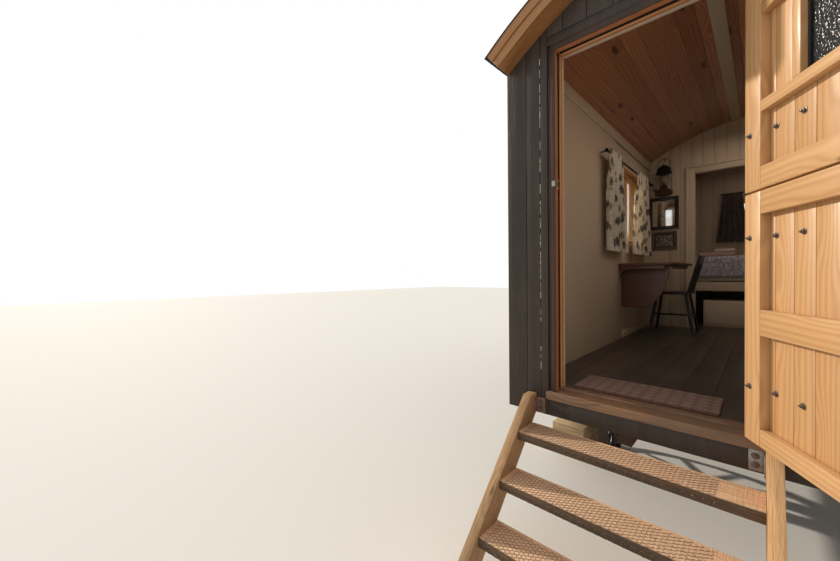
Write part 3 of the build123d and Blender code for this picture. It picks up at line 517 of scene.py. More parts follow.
@dataclass(frozen=True)
class Cloth(Finish):
    """Woven cloth, plain or printed, on the piece's own cloth coordinates."""

    base: Colour
    ink: Colour
    second: Colour = (0.3, 0.3, 0.25)
    print: Print = Print.PLAIN
    threads: float = 900.0
    scale: float = 12.0
    roughness: float = 0.9
    relief: float = 0.0003
    glow: float = 0.0

    def pattern(self, graph: Graph, cloth: Socket) -> Socket:
        """Colour of the print.

        Args:
            graph: The material's graph.
            cloth: Cloth coordinates.

        Returns:
            The colour's socket.
        """
        if self.print is Print.SPRIG:
            leaf = graph.stretch(cloth, (self.scale, self.scale * 0.55, 1.0))
            ragged = graph.noise(leaf, 7.0, 4.0, 0.75)
            cell = graph.plus(graph.cells(leaf, 1.0), ragged, 1.1)
            dark = graph.ramp(cell, 0.93, 1.01, 1.0, 0.0)
            hue = graph.ramp(graph.noise(cloth, self.scale * 0.7, 2.0), 0.5, 0.6)
            stem = graph.cells(graph.stretch(cloth, (self.scale * 1.7, self.scale * 1.2, 1.0)), 1.0,
                               "DISTANCE_TO_EDGE")
            twig = graph.ramp(stem, 0.02, 0.05, 0.75, 0.0)
            colour = graph.mix(graph.math("MULTIPLY", twig, graph.ramp(ragged, 0.45, 0.6)), self.base,
                               self.second)
            return graph.mix(dark, colour, graph.mix(hue, self.ink, self.second))
        if self.print is Print.SCROLL:
            swirl = graph.noise(cloth, self.scale, 2.0, 0.6)
            lines = graph.math("SINE", graph.math("MULTIPLY", swirl, 34.0))
            colour = graph.mix(graph.ramp(lines, 0.1, 0.5), self.base, self.ink)
            spot = graph.cells(cloth, self.scale * 1.6)
            return graph.mix(graph.ramp(spot, 0.12, 0.2, 0.8, 0.0), colour, self.second)
        if self.print is Print.TICKING:
            line = graph.math("SINE", graph.math("MULTIPLY", graph.split(cloth)[0], self.scale * math.tau))
            return graph.mix(graph.ramp(line, 0.86, 0.94, 0.0, 0.5), self.base, self.ink)
        if self.print is Print.RUG:
            parts = graph.split(cloth)
            bands = []
            for index in (0, 1):
                turn = graph.math("MULTIPLY", parts[index], self.scale * math.tau)
                bands.append(graph.math("ABSOLUTE", graph.math("SINE", turn)))
            diamond = graph.math("ADD", bands[0], bands[1])
            colour = graph.mix(graph.ramp(diamond, 1.15, 1.3), self.base, self.ink)
            colour = graph.mix(graph.ramp(diamond, 0.25, 0.4, 0.9, 0.0), colour, self.second)
            return graph.mix(graph.ramp(graph.noise(cloth, 30.0, 3.0), 0.4, 0.7, 0.0, 0.45), colour,
                             self.base)
        return graph.mix(graph.ramp(graph.noise(cloth, 5.0, 3.0), 0.35, 0.7), self.base, self.ink)

    def lay(self, graph: Graph, shader: bpy.types.Node) -> None:
        """Add the nodes of the finish."""
        cloth = graph.add("ShaderNodeUVMap", uv_map="cloth").outputs[0]
        weave = graph.place("weave", Vector=cloth, Threads=self.threads)
        shade = graph.ramp(weave["Tone"], 0.3, 0.75, 0.0, 0.22)
        colour = graph.mix(shade, self.pattern(graph, cloth), dimmed(self.base, 0.55))
        rough = graph.ramp(weave["Tone"], 0.2, 0.8, self.roughness - 0.08, min(1.0, self.roughness + 0.08))
        height = graph.plus(weave["Height"], weave["Tone"], 0.8)
        graph.fill(shader, Base_Color=colour, Roughness=rough, Normal=graph.bump(height, self.relief),
                   Sheen_Weight=0.25, Subsurface_Weight=self.glow, Subsurface_Radius=(1.0, 0.9, 0.7),
                   Subsurface_Scale=0.003)


@dataclass(frozen=True)
class Glass(Finish):
    """Clear, tinted or patterned glass."""

    tint: Colour
    roughness: float = 0.02
    transmission: float = 1.0
    ripple: float = 0.0

    def lay(self, graph: Graph, shader: bpy.types.Node) -> None:
        """Add the nodes of the finish."""
        place = graph.object_place()
        film = graph.ramp(graph.noise(place, 6.0, 3.0), 0.35, 0.8)
        rough = graph.math("ADD", graph.math("MULTIPLY", film, 0.04), self.roughness)
        graph.fill(shader, Base_Color=graph.mix(film, self.tint, dimmed(self.tint, 0.8)), Roughness=rough,
                   Transmission_Weight=self.transmission, IOR=1.45)
        if self.ripple:
            blobs = graph.math("ADD", graph.noise(place, 70.0, 3.0, 0.65), graph.cells(place, 95.0))
            graph.fill(shader, Normal=graph.bump(blobs, self.ripple))


# Mesh tools


def only(piece: Piece) -> None:
    """Select one piece and nothing else."""
    bpy.ops.object.select_all(action="DESELECT")
    piece.select_set(True)
    bpy.context.view_layer.objects.active = piece


def settle(piece: Piece, name: str) -> Piece:
    """Name a piece and put its place and size into its mesh.

    Args:
        piece: The object.
        name: Its name.

    Returns:
        The same object.
    """
    only(piece)
    bpy.ops.object.transform_apply(location=True, rotation=True, scale=True)
    piece.name = name
    return piece


def slab(low: Point, high: Point, name: str = "slab") -> Piece:
    """Add a box between any two opposite corners.

    Args:
        low: One corner.
        high: The opposite corner.
        name: Name of the object.

    Returns:
        The box, ready to be shaped.
    """
    first, last = Vector(map(min, low, high)), Vector(map(max, low, high))
    only_none()
    bpy.ops.mesh.primitive_cube_add(size=1.0, location=(first + last) / 2)
    piece = bpy.context.object
    piece.scale = last - first
    return settle(piece, name)


def only_none() -> None:
    """Deselect everything."""
    bpy.ops.object.select_all(action="DESELECT")


def rod(start: Point, end: Point, radius: float, sides: int = 16, tip: float = -1.0,
        name: str = "rod") -> Piece:
    """Add a round bar, or a tapered one, between two points.

    Args:
        start: Centre of the first end.
        end: Centre of the other end.
        radius: Radius at the start.
        sides: Number of sides.
        tip: Radius at the end; a negative value repeats radius.
        name: Name of the object.

    Returns:
        The bar.
    """
    first, last = Vector(start), Vector(end)
    only_none()
    bpy.ops.mesh.primitive_cone_add(
        vertices=sides, radius1=radius, radius2=radius if tip < 0 else tip, depth=(last - first).length,
        location=(first + last) / 2, rotation=(last - first).to_track_quat("Z", "Y").to_euler())
    return settle(bpy.context.object, name)


def change(piece: Piece, kind: str, **settings: object) -> Piece:
    """Add a modifier and apply it.

    Args:
        piece: The object.
        kind: Blender's type name of the modifier.
        **settings: The modifier's properties.

    Returns:
        The same object.
    """
    only(piece)
    modifier = piece.modifiers.new(kind.lower(), kind)
    for key, value in settings.items():
        setattr(modifier, key, value)
    bpy.ops.object.modifier_apply(modifier=modifier.name)
    return piece


def soften(piece: Piece, width: float, segments: int = 2) -> Piece:
    """Round the sharp edges."""
    return change(piece, "BEVEL", width=width, segments=segments, limit_method="ANGLE",
                  angle_limit=math.radians(35.0))


def join(pieces: list[Piece], name: str) -> Piece:
    """Join pieces into the first one.

    Args:
        pieces: The objects.
        name: Name of the result.

    Returns:
        The joined object.
    """
    only(pieces[0])
    for piece in pieces[1:]:
        piece.select_set(True)
    if len(pieces) > 1:
        bpy.ops.object.join()
    pieces[0].name = name
    return pieces[0]


def twin(piece: Piece, matrix: Matrix, name: str = "twin") -> Piece:
    """Copy a piece with its own mesh and move the copy.

    Args:
        piece: The object that is copied.
        matrix: How the copy's mesh is moved.
        name: Name of the copy.

    Returns:
        The copy.
    """
    made = piece.copy()
    made.data = piece.data.copy()
    bpy.context.scene.collection.objects.link(made)
    made.data.transform(matrix)
    if matrix.determinant() < 0:
        made.data.flip_normals()
    made.name = name
    return made


def carve(piece: Piece, cutter: Piece, keep: bool = False) -> Piece:
    """Take a cutter's space away from a piece, or keep only that space.

    Args:
        piece: The object that is cut.
        cutter: The cutting object, which is removed.
        keep: Whether the shared space is kept.

    Returns:
        The cut object.
    """
    change(piece, "BOOLEAN", operation="INTERSECT" if keep else "DIFFERENCE", object=cutter, solver="EXACT")
    bpy.data.objects.remove(cutter)
    return piece


@contextmanager
def editing(piece: Piece) -> Iterator[None]:
    """Edit a piece's mesh, with all of it selected."""
    only(piece)
    bpy.ops.object.mode_set(mode="EDIT")
    bpy.ops.mesh.select_all(action="SELECT")
    yield
    bpy.ops.object.mode_set(mode="OBJECT")


def close_mesh(gap: float) -> None:
    """In edit mode, merge points closer than gap and turn the faces outwards."""
    bpy.ops.mesh.select_all(action="SELECT")
    bpy.ops.mesh.remove_doubles(threshold=gap)
    bpy.ops.mesh.normals_make_consistent(inside=False)


def repeat(piece: Piece, count: int, step: Point, **settings: object) -> Piece:
    """Repeat a piece in a row.

    Args:
        piece: The object.
        count: Number of repeats.
        step: Way from one to the next.
        **settings: More properties of the modifier.

    Returns:
        The same object.
    """
    return change(piece, "ARRAY", count=count, use_relative_offset=False, use_constant_offset=True,
                  constant_offset_displace=step, **settings)


def points_of(piece: Piece) -> np.ndarray:
    """Coordinates of a mesh's points, one row each."""
    found = np.empty(len(piece.data.vertices) * 3, np.float32)
    piece.data.vertices.foreach_get("co", found)
    return found.reshape(-1, 3)


def move_points(piece: Piece, spots: np.ndarray) -> None:
    """Put a mesh's points at new places, one row each."""
    piece.data.vertices.foreach_set("co", spots.astype(np.float32).ravel())
    piece.data.update()


def store_grain(piece: Piece, board: np.ndarray, tone: np.ndarray) -> None:
    """Write board coordinates and tones on a mesh's points.

    Args:
        piece: The object.
        board: Coordinates along, across and through the board.
        tone: Tone of each point's board, from 0 to 1.
    """
    data = piece.data
    vector = data.attributes.get("grain") or data.attributes.new("grain", "FLOAT_VECTOR", "POINT")
    vector.data.foreach_set("vector", board.astype(np.float32).ravel())
    value = data.attributes.get("tone") or data.attributes.new("tone", "FLOAT", "POINT")
    value.data.foreach_set("value", tone.astype(np.float32))


def bolt_end(face: Point, side: int, steps: tuple[tuple[float, float, int, float], ...]) -> list[Piece]:
    """Washer, nut and bolt end on a face that looks along Y.

    Args:
        face: Middle of the bolt on the face.
        side: Side of Y that it stands out to.
        steps: How far each part stands out, its radius, its number of sides and its rounding.

    Returns:
        The parts.
    """
    return [soften(rod(face, (face[0], face[1] + side * proud, face[2]), radius, sides), ease)
            for proud, radius, sides, ease in steps]


def lay_grain(piece: Piece, along: Axis, across: Axis, seed: int, start: float = 0.0,
              pitch: float = 0.0) -> Piece:
    """Give straight boards their own stretch of wood.

    Args:
        piece: One board, or a run of them side by side.
        along: Direction of the grain.
        across: Direction across the boards.
        seed: Picks the stretch of wood.
        start: Where the first board of a run begins.
        pitch: Width of each board of a run; 0 for one board.

    Returns:
        The same object.
    """
    place = points_of(piece)
    index = np.zeros(len(place), int)
    if pitch:
        index = np.floor((place[:, across] - start) / pitch).astype(int)
        index -= index.min()
    draw = np.random.default_rng(seed)
    moved = draw.uniform(0.0, 30.0, (index.max() + 1, 3))
    tone = draw.uniform(0.0, 1.0, index.max() + 1)
    store_grain(piece, place[:, [along, across, 3 - along - across]] + moved[index], tone[index])
    return piece


def lay_own_grain(piece: Piece, board: np.ndarray, seed: int,
                  tones: tuple[float, float] = (0.0, 1.0)) -> Piece:
    """Give one board its own stretch of wood on coordinates worked out for it.

    Args:
        piece: The board.
        board: Coordinates along, across and through the board.
        seed: Picks the stretch of wood.
        tones: Range that its tone is drawn from.

    Returns:
        The same object.
    """
    draw = np.random.default_rng(seed)
    moved = draw.uniform(0.0, 30.0, 3)
    store_grain(piece, board + moved, np.full(len(board), draw.uniform(*tones)))
    return piece


def outline(points: tuple[tuple[float, float], ...], normal: Axis, low: float, high: float,
            name: str) -> Piece:
    """Extrude a closed outline that lies across one axis.

    Args:
        points: Corners on the two other axes, in their order.
        normal: Axis of the extrusion.
        low: Where it starts.
        high: Where it ends.
        name: Name of the object.

    Returns:
        The solid.
    """
    only_none()
    bpy.ops.mesh.primitive_circle_add(vertices=len(points), fill_type="NGON")
    piece = bpy.context.object
    first, second = [axis for axis in Axis if axis != normal]
    for vertex, (across, up) in zip(piece.data.vertices, points):
        vertex.co[normal], vertex.co[first], vertex.co[second] = low, across, up
    piece.data.update()
    move = [0.0, 0.0, 0.0]
    move[normal] = high - low
    with editing(piece):
        bpy.ops.mesh.extrude_region_move(TRANSFORM_OT_translate={"value": move})
        bpy.ops.mesh.select_all(action="SELECT")
        bpy.ops.mesh.normals_make_consistent(inside=False)
    return settle(piece, name)


def bar(low: Point, high: Point, along: Axis, across: Axis, seed: int, ease: float = 0.002,
        segments: int = 2) -> Piece:
    """Model one planed bar with its grain.

    Args:
        low: One corner.
        high: The opposite corner.
        along: Direction of the grain.
        across: Direction across the face.
        seed: Picks the stretch of wood.
        ease: Width of the rounded edges.
        segments: Number of steps of the rounding.

    Returns:
        The bar.
    """
    return lay_grain(soften(slab(low, high), ease, segments), along, across, seed)


def lay_cloth(piece: Piece, across: np.ndarray, along: np.ndarray) -> None:
    """Write cloth coordinates, in metres, as the UV map "cloth".

    Args:
        piece: The object.
        across: First coordinate of each point.
        along: Second coordinate of each point.
    """
    data = piece.data
    layer = data.uv_layers.get("cloth") or data.uv_layers.new(name="cloth")
    corner = np.empty(len(data.loops), np.int32)
    data.loops.foreach_get("vertex_index", corner)
    layer.data.foreach_set("uv", np.stack([across[corner], along[corner]],
                                          axis=1).astype(np.float32).ravel())


def finished(piece: Piece, name: str, finish: Finish, body: str = HUT,
             stands_for: tuple[str, ...] = (), smooth: float = 35.0) -> Piece:
    """Dress a piece and let it ride on its body.

    Args:
        piece: The object.
        name: Name of the piece.
        finish: Finish with a material method.
        body: Body that carries it.
        stands_for: CAD nodes that it replaces.
        smooth: Angle in degrees under which edges are shaded smooth.

    Returns:
        The same object.
    """
    settle(piece, name)
    piece.data.name = name
    piece.data.materials.clear()
    piece.data.materials.append(finish.material())
    bpy.ops.object.shade_smooth_by_angle(angle=math.radians(smooth))
    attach(piece, body)
    if stands_for:
        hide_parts(*stands_for)
    LOG.info("%s: %d faces on %s", name, len(piece.data.polygons), body)
    return piece


def dress_node(node: str, finish: Finish) -> None:
    """Give a CAD node a better material."""
    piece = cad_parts[node]
    piece.data.materials.clear()
    piece.data.materials.append(finish.material())


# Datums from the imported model

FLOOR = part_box("floor_deck")[1].z
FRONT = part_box("front_wall_left")[0].y
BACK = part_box("rear_wall")[1].y
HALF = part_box("side_wall_right")[1].x
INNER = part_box("side_wall_right")[0].x
WALL = HALF - INNER
CEILING_R = 1.925
CORE_R = 1.975
ARC_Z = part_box("roof_core")[1].z - CORE_R
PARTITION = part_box("partition")[0].y
PAST = 0.1  # how far a cutting box goes past what it cuts
METAL_EASE = 0.0008
SHIM = 0.0002  # keeps layers that touch from lying in one plane


def roof_cylinder(radius: float, low: float, high: float) -> Piece:
    """Add a cylinder about the roof's axis as a cutter.

    Args:
        radius: Its radius.
        low: Where it starts along Y.
        high: Where it ends along Y.

    Returns:
        The cylinder.
    """
    return rod((0.0, low, ARC_Z), (0.0, high, ARC_Z), radius, 256, name="roof_cutter")


@dataclass(frozen=True)
class BoardRun:
    """Boards side by side, each with its edges eased."""

    low: Point
    high: Point
    across: Axis
    along: Axis
    pitch: float
    ease: float = 0.003
    gap: float = 0.0008
    seed: int = 1

    @property
    def count(self) -> int:
        """Number of boards that fill the width."""
        return max(1, round((self.high[self.across] - self.low[self.across]) / self.pitch))

    @property
    def width(self) -> float:
        """Width of each board."""
        return (self.high[self.across] - self.low[self.across]) / self.count

    def build(self, name: str = "boards") -> Piece:
        """Model one board and repeat it."""
        low, high = list(self.low), list(self.high)
        high[self.across] = low[self.across] + self.width - self.gap / 2
        low[self.across] += self.gap / 2
        piece = soften(slab(tuple(low), tuple(high), name), self.ease)
        step = [0.0, 0.0, 0.0]
        step[self.across] = self.width
        return self.grain(repeat(piece, self.count, step))

    def grain(self, piece: Piece) -> Piece:
        """Lay the grain again, as after a cut."""
        return lay_grain(piece, self.along, self.across, self.seed, self.low[self.across], self.width)


# Finishes of this hut

CHARCOAL = Paint("charcoal_paint", (0.032, 0.024, 0.020), (0.056, 0.043, 0.036), roughness=0.5,
                 dirt=(0.10, 0.08, 0.06), dirt_share=0.16, streak_share=0.22, tone_share=0.45,
                 grain_depth=0.0009, gloss=0.3)
CASING_PAINT = Paint("casing_paint", (0.034, 0.018, 0.013), (0.060, 0.034, 0.025), roughness=0.45,
                     dirt=(0.10, 0.06, 0.04), dirt_share=0.2, streak_share=0.2, tone_share=0.3,
                     grain_depth=0.0006, gloss=0.3)
CREAM = Paint("cream_paint", (0.60, 0.51, 0.39), (0.52, 0.43, 0.325), roughness=0.5,
              dirt=(0.34, 0.28, 0.20), dirt_share=0.08, streak_share=0.0, tone_share=0.2)
FLOOR_PAINT = Paint("floor_paint", (0.042, 0.034, 0.028), (0.068, 0.057, 0.047), roughness=0.36,
                    dirt=(0.15, 0.12, 0.09), dirt_share=0.25, streak_share=0.0, tone_share=0.35)
BLACK_PAINT = Paint("black_chair_paint", (0.012, 0.011, 0.011), (0.024, 0.021, 0.020), roughness=0.32,
                    dirt=(0.07, 0.06, 0.05), dirt_share=0.12)
OAK = Timber("golden_timber", (0.42, 0.215, 0.08), (0.23, 0.098, 0.03), (0.10, 0.038, 0.014), roughness=0.5,
             rings=50.0, flame=3.5, ring_share=0.4, fibre_share=0.35, knot_size=0.10, tone_share=0.3,
             saw_marks=0.0, dirt=(0.11, 0.07, 0.04), dirt_share=0.25)
STAIN = Timber("red_brown_stain", (0.50, 0.20, 0.085), (0.30, 0.105, 0.042), (0.08, 0.03, 0.015),
               roughness=0.45, rings=60.0, flame=2.5, ring_share=0.35, fibre_share=0.4, knot_size=0.08,
               tone_share=0.2)
STOP_WOOD = Timber("pale_stop_wood", (0.55, 0.27, 0.11), (0.36, 0.15, 0.055), (0.12, 0.05, 0.02),
                   roughness=0.45, rings=60.0, flame=2.5, ring_share=0.35, fibre_share=0.4, knot_size=0.06,
                   tone_share=0.2)
SEAL_RUBBER = Paint("draught_seal_rubber", (0.010, 0.009, 0.009), (0.018, 0.016, 0.015), roughness=0.7,
                    dirt=(0.05, 0.04, 0.035), dirt_share=0.15, gloss=0.2)
PINE = Timber("door_pine", (0.62, 0.375, 0.18), (0.43, 0.215, 0.082), (0.16, 0.06, 0.02), roughness=0.42,
              rings=42.0, flame=3.2, ring_share=0.42, fibre_share=0.22, knot_size=0.11, tone_share=0.3,
              coat=0.15)
PINE_EDGE = Timber("window_pine", (0.66, 0.33, 0.11), (0.42, 0.18, 0.05), (0.16, 0.06, 0.02), roughness=0.4,
                   rings=50.0, flame=2.5, ring_share=0.4, fibre_share=0.3, knot_size=0.08, tone_share=0.2,
                   coat=0.3)
SAWN = Timber("rough_sawn_timber", (0.88, 0.60, 0.39), (0.60, 0.36, 0.21), (0.24, 0.11, 0.06),
              roughness=0.8, rings=34.0, flame=3.0, ring_share=0.35, fibre_share=0.5, knot_size=0.10,
              tone_share=0.2, saw_marks=0.9, dirt=(0.20, 0.13, 0.08), dirt_share=0.12)
STRINGER_WOOD = Timber("sawn_stringer", (0.84, 0.53, 0.26), (0.54, 0.28, 0.125), (0.22, 0.10, 0.05),
                       roughness=0.78, rings=34.0, flame=3.0, ring_share=0.3, fibre_share=0.6,
                       knot_size=0.10, tone_share=0.2, saw_marks=0.7, dirt=(0.16, 0.10, 0.06),
                       dirt_share=0.22)
# Painted shade: a darker copy of the stringer wood for the left plank, whose inner face lies in shade.
STRINGER_WOOD_PAINTED_SHADE = Timber("stringer_wood_painted_shade", (0.50, 0.31, 0.15), (0.29, 0.16, 0.075), (0.12, 0.06, 0.03),
                        roughness=0.8, rings=34.0, flame=3.0, ring_share=0.3, fibre_share=0.6,
                        knot_size=0.10, tone_share=0.2, saw_marks=0.7, dirt=(0.12, 0.08, 0.05),
                        dirt_share=0.25)
SILL_WOOD = Timber("weathered_sill", (0.34, 0.19, 0.10), (0.15, 0.08, 0.045), (0.07, 0.035, 0.02),
                   roughness=0.6, rings=45.0, flame=3.0, ring_share=0.5, fibre_share=0.6, knot_size=0.09,
                   tone_share=0.3, saw_marks=0.25, dirt=(0.12, 0.09, 0.065), dirt_share=0.5)
# Painted shade: near-black brown for the treads' front faces, which face away from the sun; the finish adds
# its dirt patches on top.
TREAD_EDGE_PAINTED_SHADE = Timber("tread_edge_painted_shade", (0.17, 0.10, 0.055), (0.085, 0.05, 0.028), (0.05, 0.03, 0.02),
                   roughness=0.85, rings=34.0, flame=3.0, ring_share=0.35, fibre_share=0.6, knot_size=0.10,
                   tone_share=0.25, saw_marks=0.9, dirt=(0.05, 0.035, 0.025), dirt_share=0.5)
BAULK_WOOD = Timber("packing_timber", (0.62, 0.46, 0.26), (0.38, 0.25, 0.13), (0.16, 0.09, 0.05),
                    roughness=0.85, rings=30.0, flame=3.0, ring_share=0.4, fibre_share=0.6, knot_size=0.08,
                    tone_share=0.3, saw_marks=0.9, dirt=(0.16, 0.13, 0.09), dirt_share=0.4)
BEARER_WOOD = Timber("bearer_timber", (0.30, 0.20, 0.115), (0.15, 0.09, 0.05), (0.06, 0.035, 0.02),
                     roughness=0.85, rings=34.0, flame=3.0, ring_share=0.4, fibre_share=0.5, knot_size=0.08,
                     tone_share=0.4, saw_marks=0.5, dirt=(0.10, 0.08, 0.06), dirt_share=0.4,
                     source=GrainFrom.OBJECT)
CEILING_PINE = Timber("varnished_knotty_pine", (0.58, 0.27, 0.145), (0.30, 0.125, 0.062),
                      (0.075, 0.028, 0.015), roughness=0.35, rings=44.0, flame=3.2, ring_share=0.4,
                      fibre_share=0.2, knot_size=0.19, tone_share=0.6, coat=0.35)
MAHOGANY = Timber("polished_mahogany", (0.19, 0.084, 0.056), (0.095, 0.038, 0.025), (0.04, 0.014, 0.010),
                  roughness=0.42, rings=80.0, flame=3.0, ring_share=0.45, fibre_share=0.5, knot_size=0.04,
                  tone_share=0.3, coat=0.12)
FRAME_BLACK = Timber("black_frame_wood", (0.02, 0.017, 0.015), (0.01, 0.009, 0.008), (0.01, 0.01, 0.01),
                     roughness=0.4, knot_size=0.02)
FRAME_BROWN = Timber("brown_frame_wood", (0.15, 0.105, 0.085), (0.09, 0.06, 0.048), (0.04, 0.02, 0.015),
                     roughness=0.5, knot_size=0.02)
ROOF_METAL = Metal("coated_roof_sheet", (0.06, 0.065, 0.066), rust_share=0.12, metallic=0.25,
                   roughness=0.45, size=1.4)
IRON = Metal("cast_iron", (0.045, 0.043, 0.042), rust_share=0.5, metallic=0.4, roughness=0.62,
             relief=0.0012)
RAIL_IRON = Metal("rail_iron", (0.05, 0.047, 0.045), rust_share=0.65, metallic=0.4, roughness=0.65,
                  relief=0.001)
ZINC = Metal("galvanised_steel", (0.40, 0.39, 0.36), (0.14, 0.10, 0.07), rust_share=0.3, metallic=0.85,
             roughness=0.36, size=45.0)
RUSTY = Metal("rusty_steel", (0.34, 0.25, 0.19), (0.26, 0.10, 0.04), rust_share=0.85, metallic=0.6,
              roughness=0.6, relief=0.0008, size=24.0)
BOLT_STEEL = Metal("bolt_steel", (0.20, 0.17, 0.15), rust_share=0.45, metallic=0.8, roughness=0.4,
                   size=60.0)
STRAP_BLACK = Metal("black_hinge_steel", (0.03, 0.03, 0.03), rust_share=0.15, metallic=0.3, roughness=0.5)
BRASS = Metal("brass", (0.72, 0.50, 0.20), (0.22, 0.13, 0.05), rust_share=0.15, metallic=1.0, roughness=0.3,
              relief=0.0002, size=40.0)
LAMP_METAL = Metal("old_lamp_brass", (0.12, 0.085, 0.05), (0.10, 0.05, 0.03), rust_share=0.4, metallic=0.8,
                   roughness=0.42, relief=0.0003, size=30.0)
NET_WIRE = Metal("netting_wire", (0.20, 0.16, 0.13), (0.055, 0.03, 0.02), rust_share=0.6, metallic=0.6,
                 roughness=0.4, relief=0.0001, size=60.0)
MIRROR_SILVER = Metal("mirror_silver", (0.86, 0.87, 0.87), (0.4, 0.4, 0.4), rust_share=0.05, metallic=1.0,
                      roughness=0.08, relief=0.00002, size=20.0)
SEALANT = Paint("white_sealant", (0.70, 0.68, 0.64), (0.55, 0.53, 0.49), roughness=0.6,
                dirt=(0.3, 0.28, 0.25), dirt_share=0.3)
EYELET = Metal("dark_iron", (0.02, 0.02, 0.02), metallic=0.5, roughness=0.5)
CLEAR_GLASS = Glass("clear_glass", (0.93, 0.96, 0.95))
DARK_GLASS = Glass("dark_patterned_glass", (0.05, 0.055, 0.06), roughness=0.12, transmission=0.35,
                   ripple=0.004)
CURTAIN_PRINT = Cloth("printed_curtain", (0.74, 0.68, 0.58), (0.05, 0.056, 0.052), (0.17, 0.15, 0.055),
                      Print.SPRIG, threads=700.0, scale=19.0, glow=1.0)
DARK_CLOTH = Cloth("dark_curtain_cloth", (0.11, 0.085, 0.078), (0.07, 0.054, 0.052))
DUVET_COTTON = Cloth("printed_duvet_cotton", (0.29, 0.29, 0.38), (0.58, 0.57, 0.62), (0.62, 0.60, 0.62),
                     Print.SCROLL, threads=1200.0, scale=17.0)
TICKING = Cloth("mattress_ticking", (0.64, 0.59, 0.50), (0.40, 0.37, 0.34), print=Print.TICKING,
                threads=800.0, scale=24.0)
TOWELLING = Cloth("beige_towelling", (0.55, 0.40, 0.34), (0.46, 0.33, 0.28), threads=420.0, relief=0.0012)
BATH_LINEN = Cloth("pale_towelling", (0.74, 0.62, 0.54), (0.64, 0.52, 0.45), threads=420.0, relief=0.0012)
RUG_PILE = Cloth("woven_mat", (0.14, 0.055, 0.038), (0.27, 0.15, 0.09), (0.06, 0.04, 0.035), Print.RUG,
                 threads=320.0, scale=9.0, relief=0.0012)
MAHOGANY_NODE = replace(MAHOGANY, name="mahogany_bracket", source=GrainFrom.OBJECT)
PICTURE_PRINT = Cloth("picture_print", (0.10, 0.085, 0.08), (0.26, 0.22, 0.20), (0.42, 0.37, 0.32),
                      Print.SCROLL, threads=1500.0, scale=14.0, roughness=0.35)


# Sub-assemblies


